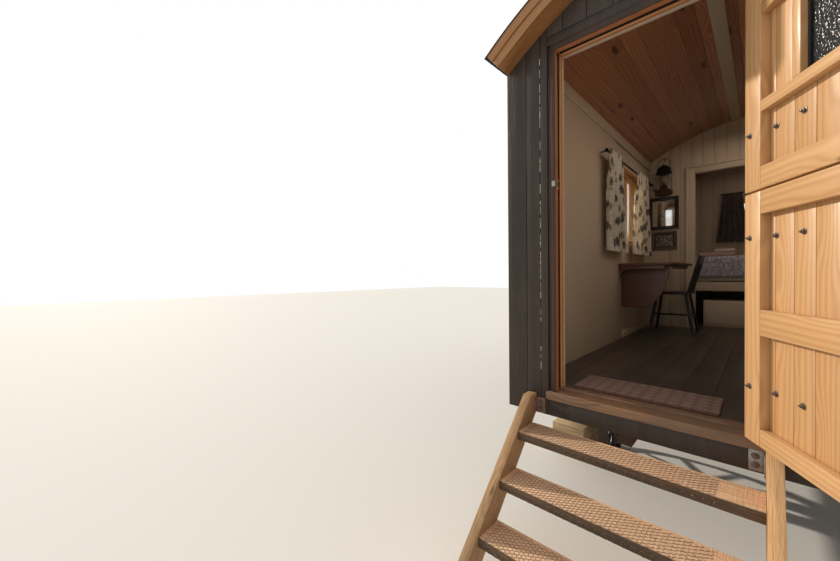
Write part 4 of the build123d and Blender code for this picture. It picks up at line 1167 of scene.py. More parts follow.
@dataclass
class Walls:
    """Board-clad outer walls, their lining and the boarded partition."""

    board: float = 0.128
    board_t: float = 0.020
    board_ease: float = 0.004
    board_gap: float = 0.0015
    lining_t: float = 0.012
    lining_seed: int = 50
    lining_board: float = 0.155
    groove: float = 0.0065
    first_board: float = 0.127
    sealant_line: float = 0.214
    bead_from: float = 0.1
    bead_to: float = 1.90
    bead_lengths: tuple[float, float] = (0.005, 0.055)
    bead_halves: tuple[float, float] = (0.0005, 0.0014)
    bead_gaps: tuple[float, ...] = (0.006, 0.03, 0.11)
    gap_odds: tuple[float, ...] = (0.45, 0.35, 0.2)
    cream_board: float = 0.1075
    cream_groove: float = 0.005
    panel_margin: float = 0.04
    head_trim: float = 0.052
    head_grid: float = 0.348
    trim_w: float = 0.088
    trim_t: float = 0.018
    bead_w: float = 0.022
    bead_proud: float = 0.009
    skirting_t: float = 0.014
    skirting_h: float = 0.070
    window_in: float = 2.280
    window_w: float = 0.800
    window_sill: float = 0.960
    window_h: float = 0.760
    rear_window_w: float = 0.580
    rear_window_sill: float = 1.200
    rear_window_h: float = 0.560

    def layer(self, node: str, face: Axis, outward: int, near: float, far: float) -> tuple[Point, Point]:
        """Corners of a slice of a wall, measured inwards from its outer face.

        Args:
            node: The wall's CAD node.
            face: Axis that the wall faces along.
            outward: 1 or -1, the side of the outer face.
            near: Depth where the slice starts.
            far: Depth where it ends.

        Returns:
            Lowest and highest corner.
        """
        low, high = (list(corner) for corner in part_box(node))
        outer = high[face] if outward > 0 else low[face]
        low[face], high[face] = sorted((outer - outward * near, outer - outward * far))
        if face is Axis.Y and far == WALL:
            low[0], high[0] = max(low[0], SHIM - INNER), min(high[0], INNER - SHIM)
        return tuple(low), tuple(high)

    def lining(self, node: str, face: Axis, outward: int, seed: int) -> BoardRun:
        """Boards that line a wall's inner face."""
        across = Axis.Y if face is Axis.X else Axis.X
        layer = self.layer(node, face, outward, WALL - self.lining_t, WALL)
        return BoardRun(*layer, across, Axis.Z, self.lining_board, self.groove, seed=seed)

    def front_core(self, low: Point, high: Point, seed: int) -> Piece:
        """Space between the boards and the lining of a part of the front wall."""
        piece = slab((low[0], FRONT + self.board_t + SHIM, low[2]),
                     (high[0], FRONT + WALL - self.lining_t - SHIM, high[2]))
        return lay_grain(self.under_roof(piece, low[1], high[1]), Axis.Z, Axis.X, seed)

    def front_lining(self, node: str, seed: int) -> None:
        """Lining of a part of the front wall."""
        low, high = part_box(node)
        inner = self.lining(node, Axis.Y, -1, seed)
        finished(inner.grain(self.under_roof(inner.build(), low.y, high.y)), node + "_lining", CREAM)

    def corners(self, node: str, face: Axis, outward: int) -> list[Piece]:
        """Solid corners where the lining of an end wall stops at the side walls."""
        low, high = self.layer(node, face, outward, WALL - self.lining_t - SHIM, WALL - SHIM / 2)
        posts = []
        for first, last in ((-HALF, -INNER), (INNER, HALF)):
            if face is Axis.Y and low[0] < last and high[0] > first:
                post = slab((max(first, low[0]), low[1], low[2]), (min(last, high[0]), high[1], high[2]))
                posts.append(lay_grain(self.under_roof(post, low[1], high[1]), Axis.Z, Axis.X, 29))
        return posts

    def window_hole(self, piece: Piece, face: Axis, place: float) -> Piece:
        """Cut a window through a layer.

        Args:
            piece: The boards.
            face: Axis that the wall faces along.
            place: The wall's coordinate on that axis.

        Returns:
            The cut boards.
        """
        if face is Axis.X:
            mid = FRONT + self.window_in
            low = (place - 0.3, mid - self.window_w / 2, FLOOR + self.window_sill)
            high = (place + 0.3, mid + self.window_w / 2, FLOOR + self.window_sill + self.window_h)
        else:
            low = (-self.rear_window_w / 2, place - 0.3, FLOOR + self.rear_window_sill)
            high = (self.rear_window_w / 2, place + 0.3, FLOOR + self.rear_window_sill + self.rear_window_h)
        return carve(piece, slab(low, high))

    def under_roof(self, piece: Piece, low: float, high: float) -> Piece:
        """Keep only what lies under the roof's inner curve."""
        return carve(piece, roof_cylinder(CEILING_R, low - 0.05, high + 0.05), keep=True)

    def layered(self, node: str, face: Axis, outward: int, windows: bool, seed: int) -> None:
        """Cladding, core and lining of one wall.

        Args:
            node: The wall's CAD node.
            face: Axis that the wall faces along.
            outward: Side of the outer face.
            windows: Whether the wall has a window.
            seed: Picks the boards.
        """
        across = Axis.Y if face is Axis.X else Axis.X
        outer = BoardRun(*self.layer(node, face, outward, 0.0, self.board_t), across, Axis.Z, self.board,
                         self.board_ease, self.board_gap, seed)
        inner = self.lining(node, face, outward, seed + self.lining_seed)
        core = slab(*self.layer(node, face, outward, self.board_t + SHIM, WALL - self.lining_t - SHIM))
        low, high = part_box(node)
        place = high[face] if outward > 0 else low[face]
        layers = []
        for piece in (outer.build(), core, inner.build()):
            piece = self.under_roof(piece, low.y, high.y)
            layers.append(self.window_hole(piece, face, place) if windows else piece)
        outer.grain(layers[0])
        lay_grain(layers[1], Axis.Z, across, seed)
        layers[2:2] = self.corners(node, face, outward)
        finished(join(layers[:-1], "cladding"), node + "_cladding", CHARCOAL,
                 stands_for=(node,))
        finished(inner.grain(layers[-1]), node + "_lining", CREAM)

    def front_left(self) -> None:
        """Front wall left of the door: two boards, a line of sealant and a narrow board by the frame."""
        low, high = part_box("front_wall_left")
        edges = (low.x, low.x + self.first_board, low.x + self.sealant_line, high.x)
        boards = []
        for index, (left, right) in enumerate(zip(edges, edges[1:])):
            piece = slab((left + 0.0008, FRONT, low.z), (right - 0.0008, FRONT + self.board_t, high.z))
            piece = self.under_roof(soften(piece, 0.003), low.y, high.y)
            boards.append(lay_grain(piece, Axis.Z, Axis.X, 11 + index))
        boards.append(self.front_core(low, high, 17))
        boards += self.corners("front_wall_left", Axis.Y, -1)
        finished(join(boards, "boards"), "front_wall_left_cladding", CHARCOAL,
                 stands_for=("front_wall_left",))
        self.front_lining("front_wall_left", 60)
        self.sealant(low.x + self.sealant_line)

    def sealant(self, across: float) -> None:
        """Broken bead of white sealant along one joint.

        Args:
            across: Where the joint lies.
        """
        draw = np.random.default_rng(5)
        beads = []
        height = FLOOR + self.bead_from
        while height < FLOOR + self.bead_to:
            length = float(draw.uniform(*self.bead_lengths))
            half = float(draw.uniform(*self.bead_halves))
            beads.append(bar((across - half, FRONT - 0.0008, height),
                             (across + half, FRONT + 0.003, height + length),
                             Axis.Z, Axis.X, len(beads), 0.0004))
            gap = float(draw.choice(self.bead_gaps, p=self.gap_odds) * draw.uniform(0.5, 1.5))
            height += length + gap
        finished(join(beads, "beads"), "joint_sealant", SEALANT)

    def front_head(self) -> None:
        """Short boards over the door, with a level trim board above the frame."""
        low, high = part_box("front_wall_head")
        trim = bar((low.x, FRONT, low.z), (high.x, FRONT + self.board_t, low.z + self.head_trim), Axis.X,
                   Axis.Z, 21, 0.003)
        start = -HALF + self.head_grid - self.board
        run = BoardRun((start, FRONT, low.z + self.head_trim + 0.001),
                       (start + 8 * self.board, FRONT + self.board_t, high.z),
                       Axis.X, Axis.Z, self.board, self.board_ease, self.board_gap, 22)
        boards = carve(run.build(), slab((low.x, FRONT - PAST, low.z),
                                         (high.x, FRONT + WALL, high.z + PAST)), keep=True)
        boards = run.grain(self.under_roof(boards, low.y, high.y))
        core = self.front_core(low, high, 23)
        finished(join([boards, trim, core], "head"), "front_wall_head_cladding", CHARCOAL,
                 stands_for=("front_wall_head",))
        self.front_lining("front_wall_head", 61)

    def partition(self) -> None:
        """Cream boards on both faces of the partition, its doorway left open."""
        low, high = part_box("partition")
        run = BoardRun(tuple(low), tuple(high), Axis.X, Axis.Z, self.cream_board, self.cream_groove, seed=31)
        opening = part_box("bed_door_architrave")
        half, over = opening[1].x - self.trim_w, opening[1].z
        boards = carve(run.build(), slab((-half, low.y - PAST, FLOOR - PAST),
                                         (half, high.y + PAST, over - self.trim_w)))
        boards = run.grain(self.under_roof(boards, low.y, high.y))
        finished(boards, "partition_boards", CREAM, stands_for=("partition",))
        face = low.y - self.trim_t
        trim = []
        for side in (-1, 1):
            trim.append(bar((side * half, face, FLOOR), (side * (half + self.trim_w), low.y, over), Axis.Z,
                            Axis.X, 33 + side, 0.004))
        trim.append(bar((-half, face, over - self.trim_w), (half, low.y, over), Axis.X, Axis.Z, 36, 0.004))
        reach = half + self.trim_w
        beads = [(-reach, FLOOR, -reach + self.bead_w, over, Axis.Z),
                 (reach - self.bead_w, FLOOR, reach, over, Axis.Z),
                 (-reach + self.bead_w, over - self.bead_w, reach - self.bead_w, over, Axis.X)]
        for first, base, last, top, along in beads:
            trim.append(bar((first, face - self.bead_proud, base), (last, face + 0.002, top), along,
                            Axis.X if along is Axis.Z else Axis.Z, 37, 0.005, 3))
        finished(join(trim, "trim"), "doorway_architrave", CREAM,
                 stands_for=("bed_door_architrave",))

    def panel(self) -> None:
        """Smooth wall panel beside the door, and skirting along the left wall."""
        low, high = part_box("lining_panel")
        window = FRONT + self.window_in - self.window_w / 2
        hole = slab((low.x - PAST, window - self.panel_margin, FLOOR + self.window_sill - self.panel_margin),
                    (high.x + PAST, high.y + PAST, high.z + PAST))
        piece = carve(slab(tuple(low), tuple(high)), hole)
        lay_grain(soften(piece, 0.0015), Axis.Z, Axis.Y, 41)
        finished(piece, "smooth_wall_panel", CREAM, stands_for=("lining_panel",))
        skirts = []
        for side, start in ((-1, high.y), (1, FRONT + WALL)):
            skirts.append(bar((side * INNER, start, FLOOR),
                              (side * (INNER - self.skirting_t), PARTITION, FLOOR + self.skirting_h),
                              Axis.Y, Axis.Z, 43 + side, 0.004))
        finished(join(skirts, "skirts"), "skirting", CREAM)

    def build(self) -> None:
        """Make every wall."""
        self.front_left()
        self.front_head()
        self.layered("front_wall_right", Axis.Y, -1, False, 12)
        self.layered("side_wall_left", Axis.X, -1, True, 13)
        self.layered("side_wall_right", Axis.X, 1, True, 14)
        self.layered("rear_wall", Axis.Y, 1, True, 15)
        self.partition()
        self.panel()


@dataclass
class Roof:
    """Curved ceiling boards, corrugated covering, bargeboards and soffits."""

    sheet_r: float = 1.975
    sheet_depth: float = 0.014
    sheet_t: float = 0.0012
    wave: float = 0.076
    barge_in: float = 1.862
    barge_depth: float = 0.113
    barge_t: float = 0.026
    barge_step: float = 0.008
    soffit_t: float = 0.020
    ceiling_board: float = 0.098
    ceiling_t: float = 0.004
    half_angle: float = math.asin(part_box("bargeboards")[1].x / CORE_R)
    eave_cap: float = 0.017
    cove_t: float = 0.020
    strip_w: float = 0.080
    strip_x: float = 0.245
    strip_depths: tuple[float, float] = (0.016, 0.003)
    joint: float = 0.0008
    crest_hold: float = 0.18
    board_gap: float = 0.0006
    sheet_lap: float = math.radians(0.5)

    def arc(self, r_in: float, r_out: float, low: float, high: float, half: float, name: str,
            steps: int = 48) -> Piece:
        """Bend a bar with a rectangular section about the roof's axis.

        Args:
            r_in: Inner radius.
            r_out: Outer radius.
            low: Where it starts along Y.
            high: Where it ends along Y.
            half: Half of its angle in radians.
            name: Name of the object.
            steps: Number of straight lengths along the curve.

        Returns:
            The bent bar, with its grain along the curve.
        """
        only_none()
        centre = (0.0, (low + high) / 2, ARC_Z + (r_in + r_out) / 2)
        bpy.ops.mesh.primitive_plane_add(size=1.0, location=centre, rotation=(0.0, math.pi / 2, 0.0))
        piece = bpy.context.object
        piece.scale = (r_out - r_in, high - low, 1.0)
        settle(piece, name)
        return self.spun(piece, half, steps)

    def spun(self, piece: Piece, half: float, steps: int) -> Piece:
        """Sweep a section about the roof's axis.

        Args:
            piece: The section, upright over the axis.
            half: Half of the angle in radians.
            steps: Number of straight lengths along the curve.

        Returns:
            The swept piece.
        """
        piece.data.transform(self.turn(-half))
        with editing(piece):
            bpy.ops.mesh.spin(steps=steps, angle=2 * half, center=(0.0, 0.0, ARC_Z), axis=(0.0, -1.0, 0.0))
            close_mesh(1e-6)
        return piece

    def turn(self, angle: float) -> Matrix:
        """Matrix of a turn about the roof's axis."""
        there = Matrix.Translation((0.0, 0.0, ARC_Z))
        return there @ Matrix.Rotation(angle, 4, "Y") @ there.inverted()

    def bent_grain(self, piece: Piece, seed: int) -> Piece:
        """Let the grain follow the curve."""
        place = points_of(piece)
        radius = np.hypot(place[:, 0], place[:, 2] - ARC_Z)
        along = np.arctan2(place[:, 0], place[:, 2] - ARC_Z) * self.barge_in
        return lay_own_grain(piece, np.stack([along, radius, place[:, 1]], axis=1), seed, (0.1, 0.7))

    def gable(self, front: bool) -> None:
        """Bargeboard of two bent strips and a soffit at one end.

        Args:
            front: Whether it is the door end.
        """
        barge_low, barge_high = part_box("bargeboards")
        face = barge_low.y if front else barge_high.y
        inward = 1 if front else -1
        wall = FRONT if front else BACK
        middle = self.barge_in + self.barge_depth / 2
        end = "front" if front else "rear"
        strips = []
        for index, (r_in, r_out, step) in enumerate(((self.barge_in, middle - self.joint, self.barge_step),
                                                     (middle + self.joint, self.sheet_r - 0.001, 0.0))):
            ends = sorted((face + inward * step, face + inward * self.barge_t))
            strip = soften(self.arc(r_in, r_out, *ends, self.half_angle, "strip"), 0.0025)
            strips.append(self.bent_grain(strip, 70 + index + 10 * front))
        board = finished(join(strips, "strips"), f"bargeboard_{end}", OAK)
        ends = sorted((face + inward * self.barge_t, wall))
        inner = self.barge_in + self.soffit_t
        soffit = [soften(self.arc(self.barge_in, inner, ends[0], ends[1], self.half_angle, "soffit"),
                         0.001)]
        half_cap = self.eave_cap / self.sheet_r / 2
        for side in (-1, 1):
            cap = self.arc(inner, self.sheet_r - 0.001, ends[0], ends[1], half_cap, "cap", 3)
            cap.data.transform(self.turn(side * (self.half_angle - half_cap)))
            soffit.append(cap)
        under = finished(self.bent_grain(join(soffit, "soffit"), 75 + front), f"soffit_{end}", OAK)
        if front:
            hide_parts("bargeboards")
            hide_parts("soffits")

    def covering(self) -> None:
        """Corrugated sheet, its waves running over the hut from eave to eave."""
        low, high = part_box("roof_sheet")
        count = round((high.y - low.y) / self.wave)
        pitch = (high.y - low.y) / count
        only_none()
        bpy.ops.curve.primitive_bezier_curve_add(location=(0.0, 0.0, 0.0))
        line = bpy.context.object
        spline = line.data.splines[0]
        spline.bezier_points.add(1)
        rise = self.sheet_depth / 2 - self.sheet_t
        middle = ARC_Z + self.sheet_r + self.sheet_depth / 2
        for index, (share, up) in enumerate(((0.0, -rise), (0.5, rise), (1.0, -rise))):
            point = spline.bezier_points[index]
            point.co = (0.0, low.y + share * pitch, middle + up)
            point.handle_left_type = point.handle_right_type = "FREE"
            point.handle_left = (0.0, low.y + (share - self.crest_hold) * pitch, middle + up)
            point.handle_right = (0.0, low.y + (share + self.crest_hold) * pitch, middle + up)
        line.data.resolution_u = 4
        only(line)
        bpy.ops.object.convert(target="MESH")
        sheet = bpy.context.object
        repeat(sheet, count, (0.0, pitch, 0.0), use_merge_vertices=True, merge_threshold=0.0005)
        self.spun(sheet, self.half_angle + self.sheet_lap, 40)
        change(sheet, "SOLIDIFY", thickness=self.sheet_t, offset=0.0)
        finished(sheet, "corrugated_covering", ROOF_METAL, stands_for=("roof_sheet",),
                 smooth=60.0)

    def ceiling(self) -> None:
        """Boards that line the curve, with a core above them."""
        low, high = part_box("roof_core")
        core = self.arc(CEILING_R + 0.001, CORE_R, low.y, high.y, self.half_angle, "core")
        finished(self.bent_grain(soften(core, 0.001), 81), "roof_core_shell", BEARER_WOOD,
                 stands_for=("roof_core",))
        reach = math.asin(INNER / CEILING_R)
        count = round(2 * reach * CEILING_R / self.ceiling_board)
        step = 2 * reach / count
        width = step * CEILING_R - self.board_gap
        board = soften(slab((-width / 2, FRONT + WALL, ARC_Z + CEILING_R - self.ceiling_t - 0.001),
                            (width / 2, BACK - WALL, ARC_Z + CEILING_R + 0.004)), 0.0035, 2)
        boards = []
        for index in range(count):
            turned = twin(board, self.turn(-reach + (index + 0.5) * step))
            boards.append(lay_own_grain(turned, points_of(board)[:, [1, 0, 2]], 90 + index))
        bpy.data.objects.remove(board)
        finished(join(boards, "boards"), "ceiling_boards", CEILING_PINE)

    def battens(self) -> None:
        """Cove battens where the walls meet the ceiling, and flat battens along the ceiling."""
        low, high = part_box("cove_battens")
        coves = []
        for side in (-1, 1):
            piece = slab((side * INNER, low.y, low.z),
                         (side * (INNER - self.cove_t), high.y, high.z + 0.02))
            piece = carve(piece, roof_cylinder(CEILING_R - 0.002, low.y - PAST, high.y + PAST), keep=True)
            coves.append(lay_grain(soften(piece, 0.004), Axis.Y, Axis.Z, 85 + side))
        finished(join(coves, "coves"), "cove_strips", CREAM,
                 stands_for=("cove_battens",))
        strips = []
        for side in (-1, 1):
            piece = slab((-self.strip_w / 2, low.y, ARC_Z + CEILING_R - self.strip_depths[0]),
                         (self.strip_w / 2, high.y, ARC_Z + CEILING_R - self.strip_depths[1]))
            piece.data.transform(self.turn(side * math.asin(self.strip_x / CEILING_R)))
            strips.append(lay_grain(soften(piece, 0.003), Axis.Y, Axis.X, 88 + side))
        finished(join(strips, "strips"), "ceiling_strips", CREAM,
                 stands_for=("ceiling_battens",))

    def build(self) -> None:
        """Make the roof."""
        self.gable(True)
        self.gable(False)
        self.covering()
        self.ceiling()
        self.battens()


@dataclass
class Doorway:
    """Door frame, sill and the beam under it."""

    left: float = -0.878
    right: float = -0.027
    casing: float = 0.043
    head_z: float = 1.930
    head_t: float = 0.038
    stop_w: float = 0.013
    stop_y: float = 0.056
    stop_h: float = 0.014
    rebate: float = 0.012
    groove_in: float = 0.024
    groove_depth: float = 0.012
    face_t: float = 0.006
    inner_t: float = 0.026
    seal: float = 0.004
    seal_w: float = 0.016
    keep_z: float = 1.178
    sill_t: float = 0.062

    def post(self, reveal: float, side: int, seed: int) -> dict[str, list[Piece]]:
        """Jamb, painted casing, stop and inner lining of one side, sorted by finish."""
        outer = reveal + side * self.casing
        groove = reveal + side * self.groove_in
        stop = reveal - side * self.stop_w
        top = FLOOR + self.head_z + self.head_t
        under = FLOOR + self.head_z
        base = FLOOR - self.rebate

        def upright(ends: tuple[float, float], near: float, far: float, foot: float, high: float,
                    ease: float) -> Piece:
            """One upright bar between two depths."""
            return bar((ends[0], FRONT + near, foot), (ends[1], FRONT + far, high), Axis.Z, Axis.X, seed,
                       ease)

        return {
            "paint": [upright((reveal, groove), 0.0, self.face_t, base, top, 0.0015),
                      upright((groove, outer), self.groove_depth, WALL, base, top, 0.002)],
            "stain": [upright((reveal, groove), self.face_t, WALL - self.inner_t, base, top, 0.0006)],
            "stop": [upright((reveal, stop), self.stop_y, WALL - self.inner_t, FLOOR, under, 0.003)],
            "inner": [upright((groove, stop), WALL - self.inner_t, WALL, FLOOR, under, 0.002)],
            "seal": [upright((reveal, reveal - side * self.seal), self.stop_y - self.seal_w, self.stop_y,
                             FLOOR, under - 0.001, 0.001)],
        }

    def frame(self) -> None:
        """Jambs and head: dark painted face, stained reveal, paler stop, black draught seal."""
        left = self.post(self.left, -1, 101)
        right = self.post(self.right, 1, 105)
        parts = {key: left[key] + right[key] for key in left}
        under = FLOOR + self.head_z
        finished(join(parts["stain"], "posts"), "door_frame_posts", STAIN,
                 stands_for=("door_jambs",))
        beam = bar((self.left, FRONT + self.face_t, under), (self.right, FRONT + WALL, under + self.head_t),
                   Axis.X, Axis.Z, 111, 0.0006)
        finished(beam, "door_frame_head", STAIN, stands_for=("door_head",))
        parts["paint"].append(bar((self.left, FRONT, under),
                                  (self.right, FRONT + self.face_t, under + self.head_t),
                                  Axis.X, Axis.Z, 112, 0.0015))
        ends = (self.left + self.stop_w, self.right - self.stop_w)
        parts["stop"].append(bar((ends[0], FRONT + self.stop_y, under - self.stop_h),
                                 (ends[1], FRONT + WALL - self.inner_t, under + 0.001),
                                 Axis.X, Axis.Y, 113, 0.003))
        parts["inner"].append(bar((ends[0], FRONT + WALL - self.inner_t, under - self.stop_h),
                                  (ends[1], FRONT + WALL, under), Axis.X, Axis.Y, 114, 0.002))
        parts["seal"].append(bar((ends[0], FRONT + self.stop_y - self.seal_w, under - self.seal),
                                 (ends[1], FRONT + self.stop_y, under), Axis.X, Axis.Y, 115, 0.001))
        finished(join(parts["paint"], "face"), "door_frame_face", CASING_PAINT)
        finished(join(parts["stop"], "stops"), "door_stops", STOP_WOOD)
        finished(join(parts["inner"], "inner"), "door_frame_inner_edge", CREAM)
        finished(join(parts["seal"], "seal"), "draught_seal", SEAL_RUBBER)

    def keep(self) -> None:
        """Keep on the left jamb: brass plate with a slot and two screws, and a zinc lip round the edge."""
        middle = FLOOR + self.keep_z
        x = self.left
        plate = slab((x - 0.0005, FRONT + 0.026, middle - 0.032),
                     (x + 0.0022, FRONT + 0.053, middle + 0.032))
        plate = carve(soften(plate, 0.0008), slab((x - 0.01, FRONT + 0.030, middle - 0.011),
                                                  (x + 0.01, FRONT + 0.060, middle + 0.011)))
        heads = [plate]
        for step in (-0.021, 0.021):
            heads.append(soften(rod((x + 0.0015, FRONT + 0.042, middle + step),
                                    (x + 0.0042, FRONT + 0.042, middle + step), 0.0055, 16), 0.0009))
        finished(join(heads, "keep"), "latch_keep", BRASS)
        lip = [soften(slab((x - 0.018, FRONT - 0.0018, middle - 0.016),
                           (x + 0.0018, FRONT + 0.0005, middle + 0.016)), 0.0006),
               soften(slab((x - 0.0005, FRONT, middle - 0.016),
                           (x + 0.0018, FRONT + 0.026, middle + 0.016)), 0.0006)]
        finished(join(lip, "lip"), "keep_lip", ZINC)

    def sill(self) -> None:
        """Worn sill with a sloping tread and a rebate for the frame."""
        low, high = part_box("door_sill")
        profile = ((low.y, FLOOR - self.sill_t), (high.y, FLOOR - self.sill_t), (high.y, FLOOR),
                   (FRONT + self.stop_y, FLOOR), (FRONT + self.stop_y, FLOOR - self.rebate),
                   (FRONT, FLOOR - 0.016), (low.y, FLOOR - 0.020))
        piece = outline(profile, Axis.X, self.left - self.casing, self.right + self.casing, "sill")
        horns = []
        for side, inner in ((-1, self.left - self.casing), (1, self.right + self.casing)):
            end = inner + side * (high.x - self.right - self.casing)
            horns.append(slab((inner, low.y, FLOOR - self.sill_t), (end, FRONT, FLOOR - 0.0185)))
        for side, inner in ((-1, self.left), (1, self.right)):
            corner = (inner + side * 2 * PAST, FRONT + 2 * PAST, FLOOR + PAST)
            piece = carve(piece, slab((inner, FRONT, FLOOR - self.rebate), corner))
            piece = carve(piece, slab((inner - side * self.stop_w, FRONT + self.stop_y, FLOOR), corner))
        pieces = [lay_grain(soften(part, 0.0035, 3), Axis.X, Axis.Y, 121) for part in [piece] + horns]
        finished(join(pieces, "sill"), "worn_sill", SILL_WOOD,
                 stands_for=("door_sill",))
        low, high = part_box("front_beam")
        beam = bar(low, high, Axis.X, Axis.Z, 125, 0.003)
        finished(beam, "beam_under_sill", CHARCOAL, stands_for=("front_beam",))

    def build(self) -> None:
        """Make the doorway."""
        self.frame()
        self.keep()
        self.sill()


@dataclass
class Steps:
    """Three treads housed in two sloping planks, with wire netting and steel angles."""

    plank: float = 0.050
    left: float = -0.993
    right: float = -0.019
    top: float = 0.735
    top_out: float = 0.074
    foot_width: float = 0.176
    slope: float = math.radians(44.6)
    tread_t: float = 0.043
    tread_depth: float = 0.174
    going: float = 0.190
    first_back: float = 0.058
    first_drop: float = 0.203
    rise: float = 0.192
    housing: float = 0.012
    edge_t: float = 0.007
    net_left: float = -0.975
    net_right: float = -0.130
    net_long: float = 0.034
    net_wide: float = 0.022
    wire: float = 0.0009
    angle_w: float = 0.052
    angle_t: float = 0.005
    bolt_in: float = 0.031
    bolt_up: tuple[float, float] = (0.026, 0.062)
    bolt: tuple[tuple[float, float, int, float], ...] = (
        (0.002, 0.014, 24, 0.0005), (0.010, 0.0095, 6, 0.0008), (0.015, 0.0052, 12, 0.0008))

    def tread_box(self, index: int, inset: float) -> tuple[Point, Point]:
        """Corners of one tread, reaching into its housings by inset."""
        top = FLOOR - self.first_drop - self.rise * index
        back = FRONT - self.first_back - self.going * index
        return ((self.left - inset, back - self.tread_depth, top - self.tread_t),
                (self.right + inset, back, top))

    def stringer(self, low: float, high: float, seed: int) -> Piece:
        """Plank cut plumb at the wall and level at the ground."""
        tangent = math.tan(self.slope)
        foot_front = -self.top_out - self.top / tangent
        foot_back = foot_front + self.foot_width
        profile = ((FRONT - self.top_out, self.top), (FRONT, self.top), (FRONT, -foot_back * tangent),
                   (FRONT + foot_back, 0.0), (FRONT + foot_front, 0.0))
        piece = outline(profile, Axis.X, low, high, "stringer")
        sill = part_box("door_sill")
        piece = carve(piece, slab((sill[0].x, FRONT - 0.020, self.top - 0.018),
                                  (sill[1].x, FRONT + 0.01, FLOOR + PAST)))
        for index in range(3):
            piece = carve(piece, slab(*self.tread_box(index, self.housing)))
        soften(piece, 0.0025)
        place = points_of(piece)
        along = place[:, 1] * math.cos(self.slope) + place[:, 2] * math.sin(self.slope)
        across = -place[:, 1] * math.sin(self.slope) + place[:, 2] * math.cos(self.slope)
        return lay_own_grain(piece, np.stack([along, across, place[:, 0]], axis=1), seed)

    def planks(self) -> None:
        """Both stringers; the left one is coloured darker as painted shade."""
        pair = [self.stringer(self.left - self.plank, self.left, 131),
                self.stringer(self.right, self.right + self.plank, 132)]
        # Painted shade: the left plank takes the darker copy of the stringer wood.
        finished(pair[0], "weathered_step_plank", STRINGER_WOOD_PAINTED_SHADE)
        finished(pair[1], "sunny_step_plank", STRINGER_WOOD,
                 stands_for=("step_stringers",))

    def treads(self) -> None:
        """Sawn treads, each with its own grain, and a dark strip on each front face as painted shade."""
        made, edges = [], []
        for index in range(3):
            low, high = self.tread_box(index, self.housing)
            made.append(bar((low[0], low[1] + self.edge_t, low[2]), high, Axis.X, Axis.Y, 135 + index,
                            0.002, 3))
            # Painted shade: a thin strip over each tread's front face, coloured dark to stand in for the
            # shade there.
            edges.append(bar(low, (high[0], low[1] + self.edge_t - SHIM, high[2] - 0.0015), Axis.X, Axis.Z,
                             138 + index, 0.0025, 3))
        finished(join(made, "treads"), "step_boards", SAWN,
                 stands_for=("step_treads",))
        finished(join(edges, "edges"), "tread_front_edges", TREAD_EDGE_PAINTED_SHADE)

    def strand(self) -> Piece:
        """One bent wire of the netting, a single mesh."""
        only_none()
        bpy.ops.curve.primitive_bezier_curve_add(location=(0.0, 0.0, 0.0))
        wire = bpy.context.object
        spline = wire.data.splines[0]
        spline.bezier_points.add(3)
        half = self.net_wide / 2
        bends = ((0.0, 0.0), (0.23, 0.0), (0.5, half), (0.73, half), (1.0, 0.0))
        for point, (share, out) in zip(spline.bezier_points, bends):
            point.co = (share * self.net_long, out, 0.0)
            point.handle_left_type = point.handle_right_type = "VECTOR"
        wire.data.resolution_u = 1
        wire.data.dimensions = "3D"
        wire.data.bevel_depth = self.wire
        wire.data.bevel_resolution = 0
        only(wire)
        bpy.ops.object.convert(target="MESH")
        return bpy.context.object

    def netting(self) -> None:
        """Six-sided netting stapled over the tops and front edges of the treads."""
        first = self.strand()
        mirrored = Matrix.Scale(-1.0, 4, (0.0, 1.0, 0.0))
        mate = twin(first, Matrix.Translation((0.0, self.net_wide, 0.0)) @ mirrored)
        pair = join([first, mate], "netting_pair")
        long = int((self.net_right - self.net_left) / self.net_long)
        repeat(pair, long, (self.net_long, 0.0, 0.0))
        nets = []
        for index in range(3):
            low, high = self.tread_box(index, 0.0)
            over = Matrix.Translation((self.net_left, low[1] - 0.001, high[2] + 0.0012))
            front = Matrix.Translation((self.net_left, low[1] - 0.0012, low[2] + 0.002))
            for rows, matrix in (
                (int(self.tread_depth / self.net_wide), over),
                (int(self.tread_t / self.net_wide), front @ Matrix.Rotation(math.pi / 2, 4, "X")),
            ):
                sheet = repeat(twin(pair, Matrix.Identity(4)), rows, (0.0, self.net_wide, 0.0))
                sheet.data.transform(matrix)
                nets.append(sheet)
        bpy.data.objects.remove(pair)
        finished(join(nets, "nets"), "tread_netting", NET_WIRE)

    def angles(self) -> None:
        """Steel angles that tie the planks to the beam, each with two bolts and washers."""
        low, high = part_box("step_brackets")
        bolts = []
        for side, edge, finish, name in ((1, self.left, RUSTY, "left_angle"),
                                         (-1, self.right, ZINC, "right_angle")):
            parts = [slab((edge, FRONT - self.angle_t, low.z), (edge + side * self.angle_w, FRONT, high.z)),
                     slab((edge, low.y, low.z), (edge + side * self.angle_t, FRONT - 0.0045, high.z))]
            parts = [soften(part, 0.0012) for part in parts]
            for up in self.bolt_up:
                face = (edge + side * self.bolt_in, FRONT - self.angle_t, low.z + up)
                bolts += bolt_end(face, -1, self.bolt)
            stands = ("step_brackets",) if side < 0 else ()
            finished(join(parts, "angle"), name, finish, stands_for=stands)
        finished(join(bolts, "bolts"), "angle_bolts", BOLT_STEEL)

    def build(self) -> None:
        """Make the steps."""
        self.planks()
        self.treads()
        self.netting()
        self.angles()


